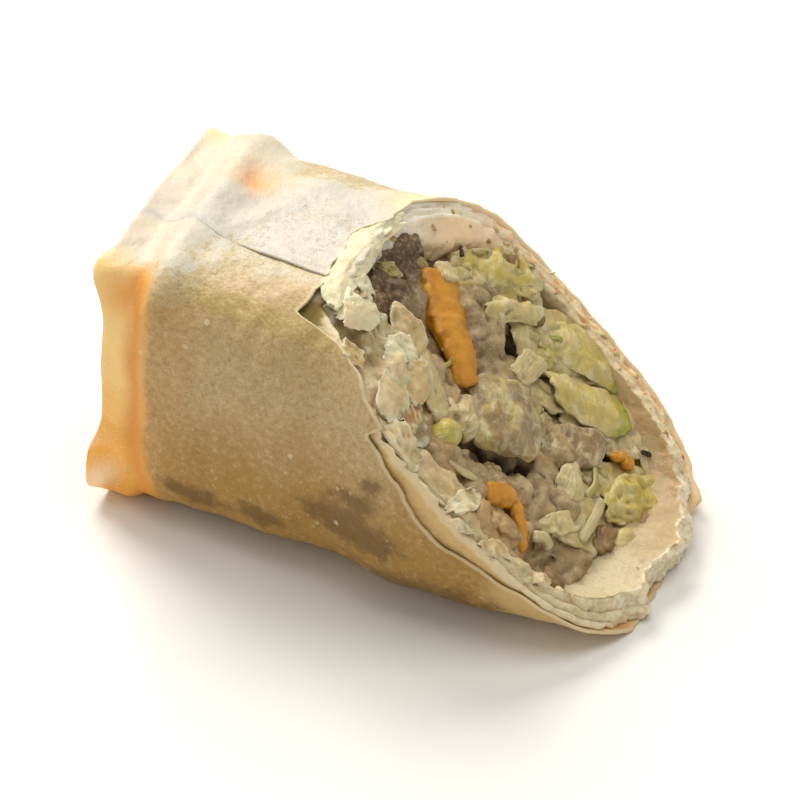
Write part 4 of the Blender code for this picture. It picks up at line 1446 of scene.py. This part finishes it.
def cooked_cabbage():
    """Cooked cabbage: translucent, cream to yellow green, wet, with fine veins along the leaf."""
    paint = Paint(
        "cooked_cabbage",
        Coat_Roughness=0.25,
        Subsurface_Weight=0.3, Subsurface_Scale=0.0012, Subsurface_Radius=(1.0, 0.9, 0.35),
    )
    green, brown, side = paint.mask("green"), paint.mask("brown"), paint.mask("side")
    soft, fine = paint.grain(3.0, 4.0), paint.grain(0.8, 3.0, 0.6)
    lengthwise = paint.mask("reach") * 1.2
    lines = paint.add("ShaderNodeCombineXYZ", None, {0: side * 5.0, 1: lengthwise, 2: soft * 3.0})
    streaks = paint.add("ShaderNodeTexNoise", None, {"Vector": lines, "Scale": 1.0, "Detail": 3.0})
    veins = paint.between(streaks, 0.4, 0.66)
    paint.start(paint.between(green + (soft - 0.5) * 0.6, 0.0, 0.55), (210, 188, 134), (196, 174, 78))
    paint.over(paint.between(green + (soft - 0.5) * 0.3, 0.6, 1.0), (172, 174, 40))
    paint.over(brown * paint.between(soft, 0.3, 0.6), (152, 124, 84))
    paint.over(veins * 0.4, (230, 222, 188))
    paint.over(paint.between(paint.grain(1.6, 3.0), 0.52, 0.7) * 0.4, (166, 144, 88))
    vivid = paint.between(side + (soft - 0.5) * 0.6, 0.55, 0.9) * paint.mask("rim_green")
    paint.over(vivid, (156, 164, 24))
    # Painted shade in the creases and a painted highlight on the crests.
    hollow = paint.mask("hollow")
    paint.over(paint.between(hollow, 0.53, 0.82) * 0.7, (126, 100, 46))
    paint.over(paint.between(hollow, 0.3, 0.05) * 0.25, (232, 224, 190))
    paint.over(paint.between(fine, 0.55, 0.7) * 0.3, (226, 218, 186))
    bumps = paint.relief(veins, 0.14, paint.relief(paint.grain(1.0, 3.0, 0.5), 0.16))
    return paint.set(Roughness=0.3 + 0.2 * fine, Coat_Weight=0.15 * soft, Normal=bumps)


cabbage_paint = cooked_cabbage()
finish_piece("cabbage_leaves", joined("cabbage_leaves", cabbage_leaves), cabbage_paint, "cooked_filling")
finish_piece("cabbage_shreds", joined("cabbage_shreds", cabbage_shreds), cabbage_paint, "cooked_filling")

# Small strips and scraps of leaf lie loose between the large ones.
cream_strip = shred("cream_strip", 3, 3.4, 1.1, 0.5, green=0.15, brown=0.1)
green_strip = shred("green_strip", 7, 2.6, 0.9, 0.7, green=0.55, brown=0.0)
brown_scrap = shred("brown_scrap", 9, 2.4, 1.8, 0.1, green=0.1, brown=0.8)
strew(heap_surface(), cabbage_paint, "cooked_filling", (
    ("cream_strips", cream_strip, 3.0, 0.6, 1.3, 11, "leafy", 0.5),
    ("green_strips", green_strip, 4.0, 0.5, 1.2, 12, "leafy", 0.6),
    ("brown_scraps", brown_scrap, 4.4, 0.6, 1.2, 13, "front", 0.5),
))

# ---- The carrot ----
# Carrot cut in matchsticks, cooked soft, one long stick and a bent one at the cut, and a few crumbs of it.

carrot_sticks = [
    stick(((-16.6, 7.6, -1.7), (-14.6, 4.2, -1.1), (-12.0, 1.4, -0.6), (-8.9, -0.7, -0.4),
           (-5.8, -3.3, -0.9)),
          6.7, 3.2, 251, 3.2, twist=(4.0, -12.0), taper=0.05, lumpy=0.07, narrow=0.5, count=(60, 26)),
    stick(((3.8, -13.4, -1.0), (5.4, -12.0, -0.6), (7.4, -10.2, -0.8)),
          3.0, 1.8, 252, 3.0, twist=(-20.0, 10.0), taper=0.14, lumpy=0.1),
    stick(((6.8, -10.2, -0.7), (8.8, -12.0, -0.8), (10.6, -13.6, -1.0), (12.2, -15.4, -1.4)),
          1.7, 1.6, 253, 3.2, taper=0.3, lumpy=0.14),
    stick(((14.2, 7.6, -0.7), (15.6, 8.8, -0.4), (16.2, 9.2, -0.7)),
          1.3, 1.0, 254, 2.6, taper=0.2, lumpy=0.15),
    stick(((15.8, 8.4, -0.4), (17.4, 9.4, -0.5)), 1.9, 1.2, 255, 2.6, taper=0.25, lumpy=0.15),
]


def cooked_carrot():
    """Cooked carrot: orange with a paler core and a waxy wet skin."""
    paint = Paint(
        "cooked_carrot",
        Coat_Roughness=0.25, Specular_IOR_Level=0.35,
        Subsurface_Weight=0.2, Subsurface_Scale=0.0015, Subsurface_Radius=(1.0, 0.4, 0.1),
    )
    soft, fine = paint.grain(2.6, 4.0), paint.grain(0.6, 4.0, 0.6)
    paint.start(paint.between(soft, 0.36, 0.64), (178, 114, 8), (204, 142, 28))
    paint.over(paint.between(fine, 0.5, 0.7) * 0.3, (214, 160, 80))
    paint.over(paint.between(paint.grain(1.6, 3.0), 0.52, 0.7) * 0.5, (150, 84, 6))
    side = paint.mask("side")
    core = paint.between(side.maths("ABSOLUTE", side) + (soft - 0.5) * 0.8, 0.8, 0.2)
    paint.over(core * 0.5, (222, 158, 62))
    bumps = paint.relief(paint.grain(0.9, 4.0, 0.6), 0.2, paint.relief(fine, 0.1))
    return paint.set(Roughness=0.3 + 0.2 * fine, Coat_Weight=0.15 * soft, Normal=bumps)


finish_piece("carrot_sticks", joined("carrot_sticks", carrot_sticks), cooked_carrot(), "cooked_filling")

# ---- Torn flakes of pastry ----
# Bits of the inner turns that broke and lifted along the near edge of the cut. They are thin, and white where
# the layers parted.


def on_skin(angle, distance, rise):
    """A point near the skin: its angle, its distance along the roll, and its height over the turn below."""
    relief = skin_height(roll_points(angle, distance, 0.0), angle, distance)
    return roll_points(angle, distance, 0.6 - rise - relief)


pastry_flakes = [
    # The crumpled wall of torn turns between the skin's broken edge and the filling.
    sheet((((-29.5, -17.4, -2.2), (-25.4, -16.6, -1.8), (-21.3, -16.0, -1.5), (-17.6, -16.6, -1.4),
            (-14.7, -19.2, -1.0), (-12.0, -20.2, -0.6), (-8.4, -19.6, -0.6)),
           ((-28.0, -14.0, -1.2), (-24.6, -13.8, -1.3), (-21.0, -13.2, -1.3), (-17.3, -14.0, -1.0),
            (-14.4, -16.6, -0.4), (-11.6, -17.8, -0.1), (-8.0, -18.4, -0.3)),
           ((-27.0, -10.2, 0.1), (-23.9, -11.4, 0.3), (-20.6, -11.0, 0.1), (-17.0, -11.8, 0.2),
            (-13.9, -14.2, 0.2), (-11.2, -15.4, 0.0), (-7.6, -17.0, -0.3)),
           ((-26.0, -5.0, -0.3), (-22.9, -6.0, -0.4), (-19.8, -7.0, -0.6), (-16.4, -7.6, -0.4),
            (-12.6, -9.2, -0.5), (-9.9, -12.2, -0.7), (-6.8, -14.4, -0.9)),
           ((-24.6, -3.6, -2.6), (-21.6, -4.4, -3.0), (-18.2, -6.0, -3.0), (-14.9, -6.4, -3.0),
            (-11.2, -8.4, -2.8), (-8.7, -11.4, -2.6), (-6.2, -13.4, -2.6))),
          0.6, 301, 0.36, 0.06, count=(130, 64), under=2.2, white=0.5, brown=0.1, olive=1.0),
    sheet((((-8.6, -18.8, -0.6), (-4.6, -20.2, -0.4), (-1.0, -20.6, -0.3), (3.0, -21.0, -0.3),
            (8.0, -20.8, -0.3), (13.0, -19.6, -0.3), (18.0, -17.8, -0.5)),
           ((-8.4, -15.8, -0.7), (-5.0, -17.4, -0.5), (-1.4, -17.0, -0.4), (2.4, -17.0, -0.4),
            (7.0, -18.4, -0.5), (12.4, -17.8, -0.5), (17.4, -16.0, -0.8)),
           ((-7.4, -13.8, -2.6), (-4.2, -15.4, -2.6), (-0.6, -14.8, -2.4), (3.2, -14.8, -2.2),
            (7.0, -16.2, -2.2), (12.0, -16.0, -2.4), (16.8, -14.2, -2.6))),
          0.6, 302, 0.34, 0.08, count=(130, 40), under=2.0, white=0.4, brown=0.35),
    # The white torn edge along the top lip.
    sheet((((120.0, 28.4, 0.1), (112.0, 27.9, 0.2), (104.0, 27.9, 0.2), (96.0, 27.8, 0.2),
            (88.0, 27.8, 0.2), (80.0, 28.8, 0.1), (72.0, 30.4, 0.0)),
           ((121.0, 30.4, 0.1), (112.0, 30.0, 0.2), (104.0, 30.1, 0.2), (96.0, 30.1, 0.2),
            (88.0, 30.1, 0.2), (80.0, 30.3, 0.2), (72.0, 31.2, 0.1)),
           ((122.0, 32.4, -0.9), (113.0, 31.9, -1.1), (105.0, 31.6, -1.2), (97.0, 31.5, -1.3),
            (89.0, 31.4, -1.3), (80.0, 31.6, -1.2), (72.0, 32.2, -1.1))),
          0.4, 303, 0.18, 0.14, count=(130, 34), lay=on_skin, under=0.1, white=0.9),
    sheet((((104.0, 29.0, 0.3), (96.0, 29.0, 0.3)),
           ((105.0, 31.0, -0.2), (97.0, 31.0, -0.2))),
          0.3, 305, 0.2, 0.24, lay=on_skin, under=0.05, white=1.0),
    sheet((((84.0, 29.2, 0.3), (76.0, 30.2, 0.3)),
           ((86.0, 31.0, -0.4), (77.0, 31.6, -0.4))),
          0.3, 307, 0.2, 0.24, lay=on_skin, under=0.05, white=1.0),
    # The pointed leaf that stands at the near side of the opening.
    sheet((((-19.3, -3.2, -0.3), (-19.0, -2.6, -0.3)), ((-18.8, -4.9, -0.4), (-16.7, -2.7, -0.2)),
           ((-16.8, -6.4, -0.6), (-15.2, -2.1, -0.3)), ((-14.8, -5.7, -0.9), (-13.2, -3.5, -0.6)),
           ((-12.8, -6.6, -1.2), (-12.3, -5.1, -1.0))), 0.6, 222, 0.2, 0.08, white=0.3),
    # Crumbled white pastry between the notch and the opening.
    sheet((((-27.4, -12.2, -0.6), (-25.6, -8.0, -0.5), (-24.2, -4.6, -0.5)),
           ((-25.6, -12.6, 0.2), (-24.0, -9.0, 0.3), (-22.8, -5.6, 0.1)),
           ((-24.0, -12.8, 0.2), (-22.4, -10.0, 0.3), (-21.4, -7.6, -0.1))),
          0.5, 304, 0.34, 0.2, count=(60, 50), under=0.9, white=0.9),
    sheet((((-25.4, -6.4, -0.1), (-24.4, -3.4, -0.1)),
           ((-22.8, -6.4, -0.2), (-22.0, -4.2, -0.5))), 0.4, 313, 0.26, 0.24, under=0.6, white=1.0),
    # The translucent plates round the notch.
    sheet((((-25.1, -10.1, 0.5), (-23.6, -7.8, 0.5), (-22.1, -6.6, 0.2)),
           ((-24.0, -12.1, 0.9), (-22.6, -9.8, 0.9), (-20.7, -7.2, 0.5)),
           ((-22.9, -13.5, 0.5), (-21.2, -11.9, 0.7), (-19.0, -9.0, 0.2))),
          0.35, 306, 0.12, 0.16, white=0.6),
    sheet((((-22.4, -14.6, 0.3), (-19.2, -13.6, 0.4)),
           ((-21.0, -17.0, 0.6), (-17.8, -16.2, 0.6))), 0.35, 308, 0.2, 0.2, white=0.3),
    # The white plate and the yellow ones under it.
    sheet((((-18.3, -9.8, 0.3), (-17.0, -7.1, 0.4), (-15.3, -5.4, 0.1)),
           ((-16.4, -11.8, 0.5), (-14.5, -9.9, 0.6), (-13.0, -7.4, 0.2))),
          0.4, 309, 0.16, 0.18, white=0.95),
    sheet((((-14.7, -9.8, 0.0), (-13.6, -7.7, 0.0), (-12.0, -7.0, -0.3)),
           ((-13.2, -11.7, 0.4), (-12.0, -9.9, 0.4), (-10.4, -8.2, -0.1)),
           ((-11.2, -14.4, 0.2), (-10.0, -13.6, 0.2), (-9.2, -11.2, -0.3))),
          0.45, 310, 0.2, 0.18, white=0.25, brown=0.2),
    sheet((((-11.1, -14.2, 0.0), (-9.4, -11.4, -0.2)),
           ((-10.3, -16.2, 0.3), (-8.2, -13.8, 0.0)),
           ((-8.4, -17.0, 0.0), (-6.9, -15.4, -0.3))), 0.45, 311, 0.24, 0.2, white=0.15, brown=0.9),
    # The pointed tooth between the opening and the skin.
    sheet((((-15.5, -12.2, 0.5), (-14.9, -12.2, 0.5)),
           ((-15.4, -15.0, 0.8), (-12.9, -12.6, 0.5)),
           ((-14.8, -17.2, 0.7), (-11.0, -14.3, 0.5)),
           ((-13.1, -19.6, 0.2), (-10.0, -16.8, 0.0))), 0.4, 312, 0.16, 0.12, white=0.45),
    # The head of the pale layer, where it starts below the tooth.
    sheet((((-12.0, -21.0, 0.0), (-10.7, -17.4, 0.2)),
           ((-8.6, -22.4, 0.2), (-8.0, -17.2, 0.3)),
           ((-4.6, -22.4, 0.0), (-5.4, -18.4, -0.1))), 0.5, 314, 0.26, 0.16, under=1.3, white=0.45),
    # A flap that stands on the doughy foot.
    sheet((((24.6, -11.6, 0.3), (25.6, -8.4, 0.5), (26.2, -4.8, 0.4)),
           ((25.6, -11.2, 0.9), (26.6, -8.2, 1.2), (27.2, -5.0, 0.9))), 0.7, 320, 0.2, 0.14, white=0.7),
    # Flakes that stand along the low near edge.
    sheet((((0.2, -20.9, 0.0), (1.1, -16.8, 0.0), (2.4, -14.4, -0.5)),
           ((2.1, -21.1, 0.3), (3.3, -18.8, 0.5), (4.0, -16.0, -0.2))), 0.4, 315, 0.2, 0.22, white=0.6),
    sheet((((1.8, -22.0, -0.1), (3.8, -19.7, 0.4)),
           ((3.4, -22.2, 0.0), (5.5, -21.0, 0.2))), 0.4, 316, 0.24, 0.22, white=0.6),
    sheet((((6.3, -21.2, 0.0), (8.2, -18.2, 0.2)),
           ((8.6, -21.4, 0.1), (10.8, -19.3, 0.2))), 0.45, 317, 0.24, 0.22, white=0.2),
    sheet((((11.8, -18.5, -0.4), (14.5, -16.9, -0.2), (16.7, -15.9, -0.5)),
           ((13.9, -19.2, 0.0), (16.1, -18.2, 0.2), (17.3, -16.9, -0.2))), 0.5, 318, 0.3, 0.24, white=0.35),
]


def torn_pastry():
    """Torn pastry: white and chalky where the layers parted, cream elsewhere."""
    paint = Paint("torn_pastry", Subsurface_Weight=0.3, Subsurface_Scale=0.0012)
    soft, fine = paint.grain(2.4, 4.0), paint.grain(0.7, 4.0, 0.6)
    hollow = paint.mask("hollow")
    white = paint.between(paint.mask("white") + (soft - 0.5) * 1.1, 0.0, 1.0)
    paint.start(white, (198, 168, 108), (242, 224, 186))
    paint.over(paint.mask("brown") * paint.between(soft, 0.46, 0.66), (168, 122, 62))
    beside_skin = paint.between(paint.mask("side") + (soft - 0.5) * 0.8, 0.25, -0.35)
    paint.over(paint.mask("olive") * beside_skin * 0.8, (142, 120, 66))
    inmost = paint.between(paint.mask("side"), 0.5, 0.9)
    paint.over(paint.mask("olive") * inmost * 0.8, (112, 86, 46))
    # Painted shade in the creases and a painted highlight on the crests.
    paint.over(paint.between(hollow, 0.54, 0.85) * 0.6, (140, 116, 70))
    paint.over(paint.between(hollow, 0.42, 0.15) * 0.45, (236, 227, 204))
    # A painted highlight along the rims of the flakes.
    paint.over(paint.between(paint.mask("rim"), 0.4, 0.95) * 0.5, (244, 230, 200))
    paint.over(paint.between(paint.grain(1.4, 4.0), 0.5, 0.7) * 0.45, (178, 154, 108))
    bumps = paint.relief(paint.grain(1.4, 4.0), 0.16, paint.relief(fine, 0.14))
    return paint.set(Roughness=0.4 + 0.2 * fine, Normal=bumps)


torn_paint = torn_pastry()
finish_piece("pastry_flakes", joined("pastry_flakes", pastry_flakes), torn_paint, "fried_pastry")


def crumb(name, seed, **tints):
    """A crumb of pastry with its own tint."""
    mesh = ball(name, seed, 0.6, 0.6, 5, 7)
    for mask, values in tinted(len(mesh.vertices), {"hollow": NO_CREASE, **tints}).items():
        mesh.attributes.new(mask, "FLOAT", "POINT").data.foreach_set("value", values.astype(np.float32))
    return mesh


pale_scrap = shred("pale_scrap", 5, 1.5, 1.3, 0.15, white=0.5, brown=0.1)
lip_scrap = shred("lip_scrap", 6, 1.0, 0.8, 0.1, white=0.25, brown=0.2)
gold_crumb = crumb("gold_crumb", 23, white=0.0, brown=1.0)
strew(inner_mesh, torn_paint, "fried_pastry", (
    ("pale_crumbs", pale_scrap, 1.9, 0.4, 1.1, 21, "crumbly", 0.7),
    ("lip_crumbs", lip_scrap, 2.0, 0.3, 1.2, 22, "lip", 0.8),
    ("gold_crumbs", gold_crumb, 3.0, 0.2, 0.5, 23, "lip", 0.5),
))

# ---- Browned meat and pepper ----
# A few nuggets of meat that browned in the oil, and coarse grains of black pepper between the leaves and on
# the doughy foot.

browned_bits = [
    lump((20.2, -2.8, -1.1), (1.5, 2.0, 0.8), 401, 0.7, dark=0.45),
    lump((22.6, 4.0, -0.2), (1.1, 1.6, 0.5), 402, 0.3, dark=0.35),
    lump((4.6, -16.6, -0.7), (1.6, 2.2, 1.0), 403, 0.6, dark=0.1),
    lump((8.2, -15.4, -0.9), (1.8, 1.6, 1.1), 404, 0.6, dark=0.05),
    lump((7.0, -18.2, -0.9), (2.2, 1.6, 1.0), 405, 0.6, dark=0.2),
    lump((-3.9, 15.2, -1.6), (2.0, 1.6, 0.9), 406, 0.25, dark=0.65),
    lump((-10.2, 18.2, -0.5), (0.9, 1.2, 0.6), 407, 0.3, dark=0.5),
    lump((17.2, -14.6, -1.1), (1.7, 1.5, 0.9), 408, 0.3, dark=0.5),
    lump((0.4, 2.0, -0.5), (1.6, 1.4, 0.6), 409, 0.3, dark=0.35),
]


def browned_meat():
    """Browned bits of meat, from tan to dark brown."""
    paint = Paint("browned_meat", Subsurface_Weight=0.05, Subsurface_Scale=0.001)
    soft, fine = paint.grain(2.0, 4.0), paint.grain(0.6, 4.0, 0.65)
    dark = paint.between(paint.mask("dark") + (soft - 0.5) * 0.8, 0.0, 0.8)
    paint.start(dark, (190, 156, 104), (104, 72, 36))
    paint.over(paint.between(fine, 0.52, 0.7) * 0.4, (200, 170, 124))
    return paint.set(Roughness=0.4 + 0.2 * fine, Normal=paint.relief(fine, 0.2))


finish_piece("browned_bits", joined("browned_bits", browned_bits), browned_meat(), "cooked_filling")

# The two ends, the width, the height, the seed and the facets of each grain.
PEPPER = (
    (((17.0, 11.4, 0.1), (18.4, 12.6, 0.1)), 0.8, 0.5, 421, 10),
    (((-16.8, 13.9, -1.2), (-15.6, 12.6, -1.2)), 0.6, 0.5, 422, 10),
    (((2.6, 19.4, -0.6), (3.1, 19.8, -0.6)), 0.4, 0.4, 423, 8),
    (((-21.6, 9.8, -2.6), (-21.0, 9.2, -2.6)), 0.5, 0.4, 424, 8),
    (((24.6, -5.0, 0.1), (25.0, -4.6, 0.1)), 0.35, 0.3, 425, 8),
)
pepper = [
    stick(ends, width, height, seed, 2.4, taper=0.3, lumpy=0.15, count=(facets, facets))
    for ends, width, height, seed, facets in PEPPER
]
pepper_paint = Paint("black_pepper", Roughness=0.5)
pepper_shade = pepper_paint.between(pepper_paint.grain(0.5, 3.0), 0.4, 0.65)
pepper_paint.start(pepper_shade, (26, 22, 18), (62, 50, 36))
pepper_paint.set()
finish_piece("pepper", joined("pepper", pepper), pepper_paint, "cooked_filling")
